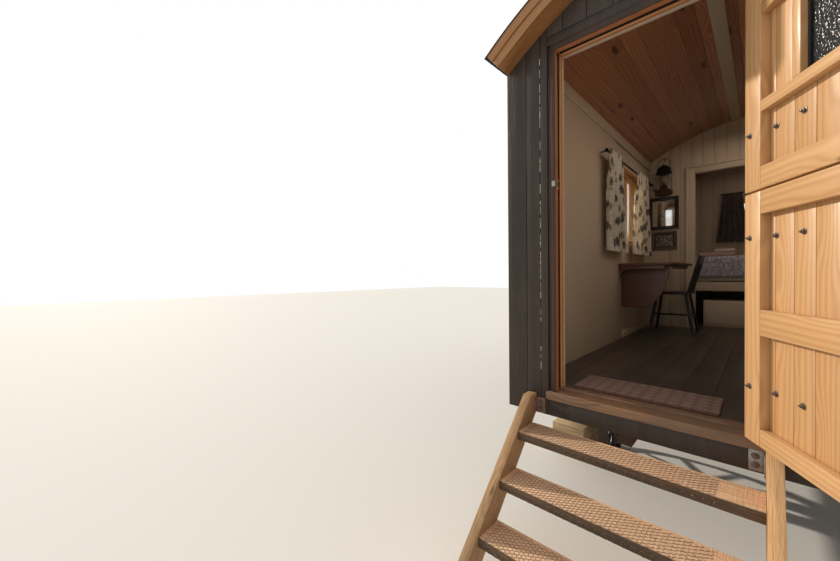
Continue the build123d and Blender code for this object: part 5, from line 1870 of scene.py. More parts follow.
@dataclass
class DoorLeaves:
    """Two boarded leaves of a stable door on strap hinges."""

    hinge_edge: float = -0.032
    latch_edge: float = -0.870
    leaf_t: float = 0.050
    board_t: float = 0.018
    stile: float = 0.090
    board: float = 0.090
    frame_ease: float = 0.0025
    board_ease: float = 0.0035
    first_joint: float = 0.118
    bottom: float = -0.007
    lower_top: float = 0.968
    upper_bottom: float = 0.976
    upper_top: float = 1.924
    lower_rails: tuple[tuple[float, float], ...] = ((-0.007, 0.060), (0.418, 0.517), (0.880, 0.968))
    upper_rails: tuple[tuple[float, float], ...] = ((0.976, 1.060), (1.265, 1.306), (1.630, 1.671),
                                                    (1.835, 1.924))
    pane_low: float = 1.306
    pane_high: float = 1.630
    pane_in: float = 0.280
    pane_bar: float = 0.036
    pin: Point = (-0.0295, -0.012, 0.0)
    opened: float = math.radians(119.4)
    straps: tuple[float, ...] = (0.210, 0.795, 1.195, 1.765)
    strap_len: float = 0.420
    strap_w: float = 0.038
    strap_t: float = 0.004
    point: float = 0.03
    taper: float = 0.72
    glass_in: tuple[float, float] = (0.0165, 0.0215)
    bead_in: tuple[float, float] = (0.022, 0.030)
    bead: float = 0.007
    glass_gap: float = 0.0005
    plate_w: float = 0.044
    plate_h: float = 0.036
    screws: tuple[float, ...] = (-0.024, 0.0, 0.024)
    nuts_in: tuple[float, ...] = (0.033, 0.125, 0.252)
    eye_h: float = 0.018
    knuckle_r: float = 0.008
    pin_r: float = 0.0045
    bolt: tuple[tuple[float, float, int, float], ...] = (
        (0.0018, 0.0115, 20, 0.0005), (0.0085, 0.0075, 6, 0.0008), (0.014, 0.0042, 12, 0.0008))

    @property
    def width(self) -> float:
        """Width of a leaf."""
        return self.hinge_edge - self.latch_edge

    @property
    def axis(self) -> Vector:
        """Foot of the line that both leaves turn about."""
        return Vector((self.pin[0], FRONT + self.pin[1], 0.0))

    @property
    def swing(self) -> Matrix:
        """How a closed leaf is turned to where it stands."""
        there = Matrix.Translation(self.axis)
        return there @ Matrix.Rotation(self.opened, 4, "Z") @ there.inverted()

    def part(self, near: float, far: float, outer: float, inner: float, low: float, high: float) -> Piece:
        """Box in a closed leaf.

        Args:
            near: Distance from the hinge edge where it starts.
            far: Distance where it ends.
            outer: Depth of its outer face.
            inner: Depth of its inner face.
            low: Lower height over the floor.
            high: Upper height.

        Returns:
            The box.
        """
        return slab((self.hinge_edge - far, FRONT + outer, FLOOR + low),
                    (self.hinge_edge - near, FRONT + inner, FLOOR + high))

    def place(self, piece: Piece, name: str, finish: Finish, body: str, slot: str, node: str = "",
              smooth: float = 35.0) -> Piece:
        """Swing a piece open and finish it."""
        piece.data.transform(self.swing)
        return finished(piece, name, finish, body, (node,) if node else (), smooth)

    def frame(self, body: str, low: float, high: float, rails: tuple[tuple[float, float], ...], node: str,
              bars: bool, seed: int) -> None:
        """Stiles, rails and window bars of one leaf."""
        made = []
        for index, near in enumerate((0.0, self.width - self.stile)):
            piece = soften(self.part(near, near + self.stile, 0.0, self.leaf_t, low, high), self.frame_ease)
            made.append(lay_grain(piece, Axis.Z, Axis.X, seed + index))
        inner = self.leaf_t - 2 * SHIM
        for index, (base, top) in enumerate(rails):
            piece = soften(self.part(self.stile, self.width - self.stile, self.board_t, inner, base, top),
                           self.frame_ease)
            made.append(lay_grain(piece, Axis.X, Axis.Z, seed + 5 + index))
        if bars:
            for index, near in enumerate((self.pane_in - self.pane_bar, self.width - self.pane_in)):
                piece = self.part(near, near + self.pane_bar, self.board_t, inner, self.pane_low,
                                  self.pane_high)
                made.append(lay_grain(soften(piece, self.frame_ease), Axis.Z, Axis.X, seed + 10 + index))
        self.place(join(made, "frame"), node + "_bars", PINE, body, "door_pine", node)

    def boards(self, body: str, low: float, high: float, node: str, window: bool, seed: int) -> None:
        """Matched boards with joints on both faces."""
        first = self.part(self.stile + 2 * SHIM, self.first_joint - 2 * SHIM, 0.0, self.board_t, low, high)
        first = lay_grain(soften(first, self.board_ease), Axis.Z, Axis.X, seed)
        run = BoardRun((self.hinge_edge - self.width + self.stile, FRONT, FLOOR + low),
                       (self.hinge_edge - self.first_joint, FRONT + self.board_t, FLOOR + high), Axis.X,
                       Axis.Z, self.board, self.board_ease, seed=seed + 1)
        piece = run.build()
        if window:
            piece = carve(piece, self.part(self.pane_in, self.width - self.pane_in, -0.01, PAST,
                                           self.pane_low, self.pane_high))
            run.grain(piece)
        self.place(join([piece, first], "boards"), node + "_matched", PINE, body, "door_pine", node)

    def knuckle(self, low: float, high: float, radius: float, sides: int) -> Piece:
        """Length of round bar on the hinge line."""
        return rod(self.axis + Vector((0, 0, low)), self.axis + Vector((0, 0, high)), radius, sides)

    def ironwork(self, body: str, heights: tuple[float, ...], node: str) -> None:
        """Straps outside with their eyes, and bolt ends with nuts inside."""
        straps, nuts = [], []
        eye, half = self.eye_h / 2, self.strap_w / 2
        hinge, tip = self.pin[0], self.pin[0] - self.strap_len
        for height in heights:
            middle = FLOOR + height
            profile = ((hinge - 0.010, middle - half), (hinge - 0.010, middle + half),
                       (tip + self.point, middle + half * self.taper), (tip, middle),
                       (tip + self.point, middle - half * self.taper))
            made = [outline(profile, Axis.Y, FRONT - self.strap_t, FRONT, "strap"),
                    slab((hinge - 0.011, FRONT - self.strap_t, middle - eye),
                         (hinge - 0.002, FRONT, middle + eye)),
                    slab((hinge - 0.006, FRONT - 0.012, middle - eye),
                         (hinge - 0.001, FRONT - 0.001, middle + eye)),
                    self.knuckle(middle - eye, middle + eye, self.knuckle_r, 20)]
            for near in self.nuts_in:
                across = self.hinge_edge - near
                made.append(rod((across, FRONT - self.strap_t, middle), (across, FRONT - 0.009, middle),
                                0.009, 16, 0.005))
                face = FRONT + (self.leaf_t if near < self.stile else self.board_t)
                nuts += bolt_end((across, face, middle), 1, self.bolt)
            straps += [soften(piece, METAL_EASE) for piece in made]
        self.place(join(straps, "straps"), node + "_ironwork", STRAP_BLACK, body, "hinge_black", node)
        self.place(join(nuts, "nuts"), node + "_nuts", BOLT_STEEL, body, "iron")

    def pane(self) -> None:
        """Dark patterned pane with a black bead round it."""
        ends = (self.pane_in + self.glass_gap, self.width - self.pane_in - self.glass_gap)
        glass = soften(self.part(*ends, *self.glass_in, self.pane_low + self.glass_gap,
                                 self.pane_high - self.glass_gap), 0.0008)
        self.place(glass, "leaf_pane", DARK_GLASS, UPPER, "dark_pane", "upper_leaf_glass")
        beads = []
        for near, far, low, high in (
            (ends[0], ends[0] + self.bead, self.pane_low, self.pane_high),
            (ends[1] - self.bead, ends[1], self.pane_low, self.pane_high),
            (ends[0], ends[1], self.pane_low, self.pane_low + self.bead),
            (ends[0], ends[1], self.pane_high - self.bead, self.pane_high),
        ):
            piece = soften(self.part(near, far, *self.bead_in, low, high), 0.001)
            beads.append(lay_grain(piece, Axis.Z, Axis.X, len(beads)))
        self.place(join(beads, "beads"), "pane_bead", FRAME_BLACK, UPPER, "dark_pane")

    def plates(self) -> None:
        """Hinge plates on the right jamb, each with two knuckles and three screws."""
        made = []
        hinge, face = self.pin[0], FRONT - self.strap_t
        for height in self.straps:
            middle = FLOOR + height
            made.append(soften(slab((hinge + 0.003, face, middle - self.plate_h),
                                    (hinge + self.plate_w, FRONT, middle + self.plate_h)), 0.001))
            for side in (-1, 1):
                low, high = sorted((middle + side * 0.015, middle + side * 0.034))
                web = slab((hinge, FRONT - 0.012, low), (hinge + 0.006, FRONT - 0.001, high))
                ring = self.knuckle(low, high, self.knuckle_r, 20)
                made += [soften(piece, METAL_EASE) for piece in (ring, web)]
            made.append(self.knuckle(middle - 0.030, middle + 0.030, self.pin_r, 12))
            for up in self.screws:
                screw = (hinge + 0.026, face, middle + up)
                made.append(soften(rod(screw, (screw[0], face - 0.0015, screw[2]), 0.004, 12), 0.0006))
        finished(join(made, "plates"), "jamb_plates", STRAP_BLACK,
                 stands_for=("hinge_plates",))

    def build(self) -> None:
        """Make both leaves and their hinges."""
        self.frame(LOWER, self.bottom, self.lower_top, self.lower_rails, "lower_leaf_frame", False, 141)
        self.boards(LOWER, self.bottom, self.lower_top, "lower_leaf_boards", False, 155)
        self.ironwork(LOWER, self.straps[:2], "lower_leaf_straps")
        self.frame(UPPER, self.upper_bottom, self.upper_top, self.upper_rails, "upper_leaf_frame", True,
                   161)
        self.boards(UPPER, self.upper_bottom, self.upper_top, "upper_leaf_boards", True, 175)
        self.ironwork(UPPER, self.straps[2:], "upper_leaf_straps")
        self.pane()
        self.plates()


@dataclass
class Windows:
    """Pine window frames with a middle bar, and their panes."""

    stile: float = 0.045
    middle: float = 0.040
    lap: float = 0.040
    lap_t: float = 0.014
    pane_t: float = 0.006

    def fitted(self, width: float, height: float, matrix: Matrix,
               seed: int) -> tuple[list[Piece], list[Piece]]:
        """Bars and panes of one window.

        Args:
            width: Width of the hole.
            height: Height of the hole.
            matrix: Where the window goes; it is built along X, outwards along Y.
            seed: Picks the wood.

        Returns:
            The bars and the panes.
        """
        half, inner, over = width / 2, width / 2 - self.stile, height - self.stile
        boxes = []
        for near, far, lap in ((0.0, WALL, 0.0), (-self.lap_t, 0.0, self.lap)):
            boxes += [((-half - lap, near, -lap), (-inner, far, height + lap), Axis.Z, Axis.X),
                      ((inner, near, -lap), (half + lap, far, height + lap), Axis.Z, Axis.X),
                      ((-inner, near, -lap), (inner, far, self.stile), Axis.X, Axis.Z),
                      ((-inner, near, over), (inner, far, height + lap), Axis.X, Axis.Z)]
        boxes.insert(4, ((-self.middle / 2, 0.0, self.stile), (self.middle / 2, WALL, over), Axis.Z,
                         Axis.X))
        bars = []
        for index, (low, high, along, across) in enumerate(boxes):
            bars.append(bar(low, high, along, across, seed + index, 0.003))
            bars[-1].data.transform(matrix)
        panes = []
        for ends in ((-inner, -self.middle / 2), (self.middle / 2, inner)):
            pane = slab((ends[0] - 0.002, WALL / 2 - self.pane_t / 2, self.stile - 0.002),
                        (ends[1] + 0.002, WALL / 2 + self.pane_t / 2, height - self.stile + 0.002))
            pane.data.transform(matrix)
            panes.append(soften(pane, 0.0006))
        return bars, panes

    def build(self) -> None:
        """Make all windows."""
        walls = Walls()
        bars, panes = [], []
        for side in (-1, 1):
            place = Matrix.Translation((side * INNER, FRONT + walls.window_in, FLOOR + walls.window_sill))
            made = self.fitted(walls.window_w, walls.window_h,
                               place @ Matrix.Rotation(-side * math.pi / 2, 4, "Z"), 190 + side)
            bars += made[0]
            panes += made[1]
        rear = Matrix.Translation((0.0, BACK - WALL, FLOOR + walls.rear_window_sill))
        made = self.fitted(walls.rear_window_w, walls.rear_window_h, rear, 195)
        finished(join(bars + made[0], "bars"), "window_joinery", PINE_EDGE,
                 stands_for=("window_frames",))
        finished(join(panes + made[1], "panes"), "window_panes", CLEAR_GLASS,
                 stands_for=("window_glass",))


@dataclass
class Furniture:
    """Table, chair, bed frame, mirror, picture, lamp and mat."""

    table_corner: float = 0.090
    near_over: float = 0.114
    apron: float = 0.036
    corbel: tuple[float, float] = (0.065, 0.125)
    bed_post: float = 0.060
    seat_z: float = 0.430
    rung_z: float = 0.20
    rung_out: tuple[float, float] = (0.165, 0.16)
    rung_r: float = 0.009
    foot_out: tuple[float, float] = (0.195, 0.185)
    leg_out: float = 0.130
    knee: float = 0.45
    knee_r: float = 0.0165
    drawer_gap: float = 0.012
    knob_z: float = 0.17
    lean: Point = (0.100, 0.0, 0.385)
    bar_w: tuple[float, float, float] = (0.040, 0.030, 0.012)
    chair: tuple[float, float] = (-0.742, 2.800)
    lamp: tuple[float, float] = (-0.897, 0.110)
    mirror_turn: float = 0.047
    mirror_lean: float = 0.038
    mirror: tuple[float, float, float, float] = (-1.070, FLOOR + 1.204, -0.761, FLOOR + 1.601)
    picture: tuple[float, float, float, float] = (-1.041, FLOOR + 0.952, -0.778, FLOOR + 1.179)

    def table(self) -> None:
        """Mahogany top with rounded corners, a hanging end leaf and small corbels."""
        low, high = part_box("table_top")
        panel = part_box("lining_panel")[1]
        near, face, corner = low.y - self.near_over, panel.x + 0.0005, self.table_corner
        turns = np.linspace(0.0, math.pi / 2, 10)
        edge = [(face, near), (face, panel.y + 0.0005), (low.x, panel.y + 0.0005), (low.x, high.y)]
        edge += [(high.x - corner + corner * math.sin(turn),
                  high.y - corner + corner * math.cos(turn)) for turn in turns]
        edge += [(high.x - corner + corner * math.cos(turn),
                  near + corner - corner * math.sin(turn)) for turn in turns]
        top = soften(outline(tuple(edge), Axis.Z, low.z, high.z, "top"), 0.005, 3)
        finished(lay_grain(top, Axis.Y, Axis.X, 201), "table_board", MAHOGANY,
                 stands_for=("table_top",))
        rails = [slab((face, near + 0.020, low.z - self.apron),
                      (high.x - 0.100, near + 0.040, low.z - 0.0005)),
                 slab((high.x - 0.060, near + 0.100, low.z - self.apron),
                      (high.x - 0.040, high.y - 0.100, low.z - 0.0005))]
        rails = [lay_grain(soften(rail, 0.003), along, Axis.Z, 203)
                 for rail, along in zip(rails, (Axis.X, Axis.Y))]
        reach, drop = self.corbel
        curve = [(face + reach * (1.0 - math.sin(turn)), low.z - self.apron - drop * (1.0 - math.cos(turn)))
                 for turn in turns]
        profile = [(face, low.z - 0.0005), (face + reach, low.z - 0.0005)] + curve
        bracket = outline(tuple(profile), Axis.Y, near + 0.042, near + 0.064, "bracket")
        rails.append(lay_grain(soften(bracket, 0.003), Axis.Z, Axis.X, 204))
        finished(join(rails, "apron"), "table_apron", MAHOGANY)
        low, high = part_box("table_leaf")
        reach, drop = high.x - low.x, high.z - low.z
        flat = 0.38 * reach
        curve = [(low.x + flat + (reach - flat) * math.sin(turn), high.z - drop * math.cos(turn))
                 for turn in np.linspace(0.0, math.pi / 2, 14)]
        leaf = outline(tuple([(low.x, high.z), (low.x, low.z)] + curve), Axis.Y, low.y, high.y, "leaf")
        finished(lay_grain(soften(leaf, 0.005, 3), Axis.Z, Axis.X, 202), "hanging_leaf", MAHOGANY,
                 stands_for=("table_leaf",))
        dress_node("table_brackets", MAHOGANY_NODE)

    def spindle(self, start: Vector, end: Vector, radius: float) -> Piece:
        """Turned bar, thicker in its middle."""
        middle = (start + end) / 2
        bulge = radius * 1.25
        return join([rod(start, middle, radius * 0.8, 14, bulge),
                     rod(middle, end, bulge, 14, radius * 0.8)], "spindle")

    def seat(self) -> None:
        """Black chair with splayed legs and a leaning back with a deep rail."""
        low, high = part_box("chair_seat")
        finished(bar(low, high, Axis.X, Axis.Y, 205, 0.011, 4), "chair_board", BLACK_PAINT,
                 stands_for=("chair_seat",))
        centre = Vector((self.chair[0], FRONT + self.chair[1], FLOOR))
        legs = []
        for side in (-1, 1):
            for end in (-1, 1):
                foot = centre + Vector((side * self.foot_out[0], end * self.foot_out[1], 0.0))
                top = centre + Vector((side * self.leg_out, end * self.leg_out, self.seat_z))
                knee = foot + (top - foot) * self.knee
                legs.append(rod(foot, knee, 0.0115, 14, self.knee_r))
                legs.append(rod(knee, top, self.knee_r, 14, 0.0125))
            ends = [centre + Vector((side * self.rung_out[0], end * self.rung_out[1], self.rung_z))
                    for end in (-1, 1)]
            legs.append(self.spindle(ends[0], ends[1], self.rung_r))
        ends = [centre + Vector((side * self.rung_out[0], 0.0, self.rung_z)) for side in (-1, 1)]
        legs.append(self.spindle(ends[0], ends[1], self.rung_r))
        finished(lay_grain(join(legs, "legs"), Axis.Z, Axis.X, 206), "chair_turned_legs", BLACK_PAINT,
                 stands_for=("chair_legs",))
        foot = centre + Vector((0.150, 0.0, self.seat_z + 0.026))
        lean = Vector(self.lean)
        back = []
        for side in (-1, 1):
            back.append(rod(foot + Vector((0, side * 0.150, -0.004)),
                            foot + lean + Vector((0, side * 0.165, 0.0)), 0.014, 16, 0.0115))
        for side in (-0.075, 0.0, 0.075):
            back.append(self.spindle(foot + Vector((0, side, -0.004)),
                                     foot + lean * 0.85 + Vector((0, side, 0.0)), 0.008))
        rail = soften(slab((-0.010, -0.183, -0.045), (0.010, 0.183, 0.045)), 0.006, 3)
        turn = Matrix.Rotation(math.atan2(lean.x, lean.z), 4, "Y")
        rail.data.transform(Matrix.Translation(foot + lean + Vector((-0.012, 0.0, -0.045))) @ turn)
        back.append(rail)
        finished(lay_grain(join(back, "back"), Axis.Y, Axis.Z, 207), "chair_back_rest", BLACK_PAINT,
                 stands_for=("chair_back",))

    def bed(self) -> None:
        """Cream bed rail, posts and drawers with beaded fronts."""
        low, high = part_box("bed_base")
        finished(bar(low, high, Axis.X, Axis.Z, 210, 0.005, 3), "bed_rail", CREAM,
                 stands_for=("bed_base",))
        low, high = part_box("bed_drawers")
        parts = [soften(slab((low.x, low.y + 0.014, low.z), (high.x, high.y, high.z)), 0.003)]
        width = (high.x - low.x) / 2
        for index in range(2):
            left = low.x + index * width
            parts.append(soften(slab((left + self.drawer_gap, low.y + 0.002, low.z + 0.03),
                                     (left + width - self.drawer_gap, low.y + 0.015, high.z - 0.02)),
                                0.004))
            for share in (0.25, 0.75):
                knob = Vector((left + share * width, low.y + 0.004, low.z + self.knob_z))
                parts.append(soften(rod(knob, knob - Vector((0.0, 0.022, 0.0)), 0.008, 16, 0.014), 0.003))
        drawers = lay_grain(join(parts, "drawers"), Axis.X, Axis.Z, 211)
        finished(drawers, "bed_drawer_fronts", CREAM, stands_for=("bed_drawers",))
        posts = []
        low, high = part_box("bed_posts")
        for side in (-1, 1):
            for end, edge in ((-1, low.y), (1, high.y)):
                posts.append(bar((side * high.x, edge, low.z),
                                 (side * (high.x - self.bed_post), edge - end * self.bed_post, high.z),
                                 Axis.Z, Axis.X, 212 + side + 2 * end, 0.004))
        finished(join(posts, "posts"), "bed_corner_posts", CREAM,
                 stands_for=("bed_posts",))

    def bars(self, low: Vector, high: Vector, wide: float, seed: int) -> Piece:
        """Four mitred bars round a rectangle.

        Args:
            low: Lowest corner of the frame.
            high: Highest corner.
            wide: Width of the bars.
            seed: Picks their grain.

        Returns:
            The frame.
        """
        made = []
        corners, inner = [], []
        for x, z, right, up in ((low.x, low.z, 1, 1), (high.x, low.z, -1, 1), (high.x, high.z, -1, -1),
                                (low.x, high.z, 1, -1)):
            corners.append((x, z))
            inner.append((x + right * wide, z + up * wide))
        for index in range(4):
            after = (index + 1) % 4
            piece = outline((corners[index], corners[after], inner[after], inner[index]), Axis.Y, low.y,
                            high.y, "bar")
            along = Axis.Z if index % 2 else Axis.X
            made.append(lay_grain(soften(piece, 0.003, 3), along, Axis.X if along is Axis.Z else Axis.Z,
                                  seed + index))
        return join(made, "bars")

    def field(self, low: Vector, high: Vector, name: str, finish: Finish,
              lean: Matrix = Matrix.Identity(4)) -> None:
        """Flat picture or mirror inside a frame, leaning with it."""
        piece = soften(slab(tuple(low), tuple(high)), 0.0008)
        place = points_of(piece)
        lay_cloth(piece, place[:, 0] - low.x, place[:, 2] - low.z)
        piece.data.transform(lean)
        finished(piece, name, finish)

    def framed(self) -> None:
        """Black mirror frame above a brown picture frame with a dark inner slip."""
        depth, back = Vector((0.0, 0.006, 0.0)), Vector((0.0, 0.001, 0.0))
        low = Vector((self.mirror[0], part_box("mirror")[0].y, self.mirror[1]))
        high = Vector((self.mirror[2], PARTITION, self.mirror[3]))
        foot = Vector((high.x, high.y, low.z))
        lean = Matrix.Rotation(self.mirror_turn, 4, "Z") @ Matrix.Rotation(self.mirror_lean, 4, "X")
        lean = Matrix.Translation(foot) @ lean @ Matrix.Translation(-foot)
        mirror = self.bars(low, high, self.bar_w[0], 220)
        mirror.data.transform(lean)
        finished(mirror, "mirror_bars", FRAME_BLACK, stands_for=("mirror",))
        edge = Vector((0.038, 0.0, 0.038))
        self.field(low + edge + depth, high - edge - back, "mirror_field", MIRROR_SILVER, lean)
        low = Vector((self.picture[0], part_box("picture")[0].y, self.picture[1]))
        high = Vector((self.picture[2], PARTITION, self.picture[3]))
        finished(self.bars(low, high, self.bar_w[1], 224), "picture_bars", FRAME_BROWN,
                 stands_for=("picture",))
        edge = Vector((0.0305, 0.0, 0.0305))
        slip = self.bars(low + edge + depth * 0.5, high - edge, self.bar_w[2], 228)
        finished(slip, "picture_slip", FRAME_BLACK)
        edge = Vector((0.041, 0.0, 0.041))
        self.field(low + edge + depth, high - edge - back, "picture_field", PICTURE_PRINT)

    def oil_lamp(self) -> None:
        """Small hanging oil lamp: font, burner, glass chimney, dark hood and two wires."""
        centre = Vector((self.lamp[0], PARTITION - self.lamp[1], FLOOR))
        metal = self.turned(centre, (
            (1.609, 1.622, 0.072, 0.088), (1.622, 1.650, 0.088, 0.090), (1.650, 1.674, 0.090, 0.074),
            (1.674, 1.692, 0.074, 0.042), (1.692, 1.712, 0.034, 0.034), (1.712, 1.722, 0.042, 0.042),
            (1.722, 1.760, 0.014, 0.010), (1.860, 1.872, 0.050, 0.050)))
        hood = self.turned(centre, (
            (1.872, 1.880, 0.083, 0.083), (1.880, 1.930, 0.076, 0.070), (1.930, 1.958, 0.070, 0.046),
            (1.958, 1.972, 0.046, 0.020), (1.972, 1.984, 0.012, 0.012)))
        finished(join(hood, "hood"), "oil_lamp_hood", EYELET)
        metal.append(soften(rod(centre + Vector((-0.070, 0.0, 1.668)),
                                centre + Vector((-0.112, 0.0, 1.694)), 0.013, 16, 0.008), 0.001))
        for side in (-1, 1):
            bends = ((0.076, 1.660), (0.079, 1.790), (0.079, 1.880), (0.064, 1.930), (0.064, 2.000),
                     (0.052, 2.032), (0.028, 2.049), (0.0, 2.053))
            spots = [centre + Vector((side * out, 0.0, up)) for out, up in bends]
            metal += [rod(first, second, 0.0028, 8) for first, second in zip(spots, spots[1:])]
        metal.append(rod(centre + Vector((0, 0, 2.053)), centre + Vector((0, self.lamp[1], 2.053)), 0.005,
                         12))
        finished(join(metal, "metal"), "oil_lamp_metal", LAMP_METAL,
                 stands_for=("lantern",))
        finished(self.globe(centre), "oil_lamp_globe", CLEAR_GLASS, smooth=60.0)

    def turned(self, centre: Vector, rings: tuple[tuple[float, float, float, float], ...]) -> list[Piece]:
        """Stack turned rings: each has its lower and upper height and its two radii."""
        return [soften(rod(centre + Vector((0, 0, start)), centre + Vector((0, 0, end)), first, 40, second),
                       0.0015)
                for start, end, first, second in rings]

    def globe(self, centre: Vector) -> Piece:
        """Thin glass globe, turned from a grid and closed where it meets itself."""
        sides, rings = 32, 10
        only_none()
        bpy.ops.mesh.primitive_grid_add(x_subdivisions=sides, y_subdivisions=rings, size=1.0)
        piece = bpy.context.object
        share = points_of(piece) + np.array([0.5, 0.5, 0.0])
        turn = share[:, 0] * math.tau
        radius = 0.036 + 0.033 * np.sin(share[:, 1] * 2.7)
        spots = np.stack([radius * np.cos(turn), radius * np.sin(turn), 1.722 + 0.138 * share[:, 1]],
                         axis=1) + np.array(centre)
        move_points(piece, spots)
        with editing(piece):
            close_mesh(0.0001)
        return change(piece, "SOLIDIFY", thickness=0.0015, offset=-1.0)

    def mat(self) -> None:
        """Woven mat inside the door."""
        low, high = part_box("doormat")
        piece = soften(slab(tuple(low), tuple(high)), 0.006, 3)
        place = points_of(piece)
        lay_cloth(piece, place[:, 0] - low.x, place[:, 1] - low.y)
        finished(piece, "woven_mat", RUG_PILE, stands_for=("doormat",))

    def build(self) -> None:
        """Make the furniture."""
        self.table()
        self.seat()
        self.bed()
        self.framed()
        self.oil_lamp()
        self.mat()


@dataclass
class SoftGoods:
    """Curtains, mattress, duvet and folded towels."""

    thickness: float = 0.0012
    rod_r: float = 0.009
    pole_x: float = 1.005
    pole_z: float = 1.738
    heading_off: float = 0.0175
    pole_ends: tuple[float, float] = (1.380, 3.080)
    knobs: tuple[float, float] = (0.018, 0.030)
    arm_in: float = 0.016
    arm_r: float = 0.006
    above_pole: float = 0.024
    fold_depth: float = 0.026
    rear_fold_depth: float = 0.022
    rear_span: tuple[float, float] = (0.150, 0.560)
    side_pair: tuple[tuple[float, float, int, float, float], ...] = (
        (1.395, 2.040, 6, 0.38, 0.0), (2.235, 3.030, 7, 0.47, 0.36))
    towel_spans: tuple[tuple[float, float, float, float], ...] = (
        (-0.612, -0.255, 0.0, 0.047), (-0.466, -0.262, 0.048, 0.090))
    duvet_depth: float = 0.122
    duvet_hem: float = 0.588
    swell_room: float = 0.8
    flap_out: float = 0.016
    flap_in: float = 0.010
    flap_low: float = 0.030
    pressure: float = 4.0
    frames: int = 20

    def curtain(self, start: Point, end: Point, top: float, bottom: float, depth: float, folds: float,
                seed: int, name: str, finish: Cloth, flare: float, hold: float, stand: float,
                stands_for: tuple[str, ...] = ()) -> None:
        """Gathered curtain that hangs in folds from a rod.

        Args:
            start: One end of its heading.
            end: The other end.
            top: Height of the heading.
            bottom: Height of the hem.
            depth: Half of the depth of its folds.
            folds: Number of folds.
            seed: Picks the folds.
            name: Name of the piece.
            finish: Cloth that it is made of.
            flare: How much narrower the heading is than the hem, as a share.
            hold: Share of the width that hangs straight down.
            stand: How far the heading stands off the rod, to the left of its run.
            stands_for: CAD nodes that it replaces.
        """
        only_none()
        bpy.ops.mesh.primitive_grid_add(x_subdivisions=int(folds * 14), y_subdivisions=36, size=1.0)
        piece = bpy.context.object
        place = points_of(piece) + np.array([0.5, 0.5, 0.0])
        share, fall = place[:, 0], 1.0 - place[:, 1]
        draw = np.random.default_rng(seed)
        phases, sizes = draw.uniform(0.0, math.tau, 6), draw.uniform(0.4, 1.0, 6)
        drift = sum(sizes[n] * np.sin((n + 1) * 1.7 * share * 2 + phases[n] + 0.9 * fall)
                    for n in range(3)) / 3
        turn = math.tau * (folds * share + 0.35 * drift)
        free = np.clip((fall - 0.10) / 0.30, 0.0, 1.0)
        free = free * free * (3.0 - 2.0 * free)
        swing = np.sin(turn) * (0.65 + 0.35 * np.sin(share * 9.0 + phases[4]) ** 2)
        swing = (swing + 0.16 * np.sin(2.3 * turn + phases[3] + 2.0 * fall)) * (0.32 + 0.60 * free)
        first, last = Vector(start), Vector(end)
        run = (last - first).normalized()
        side = Vector((-run.y, run.x, 0.0))
        length = (last - first).length
        sway = 0.30 * length / folds * np.sin(2.0 * turn + 0.6) / math.tau
        width = (hold + (share - hold) * (1.0 - flare * (1.0 - fall) ** 0.8)) * length + sway * fall
        out = depth * swing + stand * (1.0 - free)
        spots = np.array(first)[None, :] + width[:, None] * np.array(run) + out[:, None] * np.array(side)
        spots[:, 2] = (top + (bottom - top) * fall + 0.004 * np.sin(turn) * fall
                       + 0.005 * np.sin(1.6 * turn) * (1.0 - free))
        move_points(piece, spots)
        rows = [np.flatnonzero(np.abs(fall - level) < 1e-4) for level in (0.25, 0.5, 0.75)]
        lengths = []
        for row in rows:
            ordered = spots[row[np.argsort(share[row])]]
            lengths.append(float(np.linalg.norm(np.diff(ordered, axis=0), axis=1).sum()))
        flat = (float(np.mean(lengths)) if lengths else length * 1.5, top - bottom)
        lay_cloth(piece, share * flat[0], (1.0 - fall) * flat[1])
        change(piece, "SOLIDIFY", thickness=self.thickness, offset=0.0)
        finished(piece, name, finish, stands_for=stands_for, smooth=60.0)
        LOG.info("%s: cut %.2f by %.2f m", name, *flat)

    def curtains(self) -> None:
        """Printed curtains at the side windows and a dark pair at the rear."""
        low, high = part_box("curtains")
        top = FLOOR + self.pole_z + self.above_pole
        for side, word in ((-1, "left"), (1, "right")):
            x = side * self.pole_x
            for index, (near, far, folds, flare, hold) in enumerate(self.side_pair):
                stands = ("curtains",) if side < 0 and not index else ()
                self.curtain((x, FRONT + near, 0.0), (x, FRONT + far, 0.0), top, low.z, self.fold_depth,
                             folds, 231 + index + 5 * side, f"curtain_{word}_{'far' if index else 'near'}",
                             CURTAIN_PRINT, flare, hold, side * self.heading_off, stands)
        low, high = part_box("rear_curtains")
        for side, word in ((-1, "left"), (1, "right")):
            start, end = ((side * across, (low.y + high.y) / 2, 0.0) for across in self.rear_span)
            self.curtain(start, end, high.z, low.z, self.rear_fold_depth, 5, 241 + side,
                         f"rear_curtain_{word}", DARK_CLOTH, 0.45, 0.57,
                         -side * self.heading_off, ("rear_curtains",) if side < 0 else ())

    def headings(self) -> None:
        """Pole at each window, its arms and its turned ends."""
        made = []
        for side in (-1, 1):
            x, z = side * self.pole_x, FLOOR + self.pole_z
            ends = [Vector((x, FRONT + end, z)) for end in self.pole_ends]
            made.append(rod(*ends, self.rod_r, 20))
            for end, step in zip(ends, (-1, 1)):
                knob = end + Vector((0.0, step * self.knobs[0], 0.0))
                made += [rod(end, knob, 0.010, 16, 0.017),
                         rod(knob, knob + Vector((0.0, step * self.knobs[1], 0.0)), 0.017, 16, 0.003)]
                arm = end - Vector((0.0, step * self.arm_in, 0.0))
                made.append(rod(arm, Vector((side * (INNER - 0.0125), arm.y, z)), self.arm_r, 12))
        low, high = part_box("rear_curtains")
        y, z = (low.y + high.y) / 2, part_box("curtain_rods")[1].z - self.rod_r
        half = high.x - 0.050
        made.append(rod((-half, y, z), (half, y, z), self.rod_r, 20))
        made += [rod((side * (half - 0.015), y, z), (side * (half - 0.015), BACK - WALL, z), self.arm_r, 12)
                 for side in (-1, 1)]
        finished(join(made, "poles"), "curtain_poles", EYELET, stands_for=("curtain_rods",))

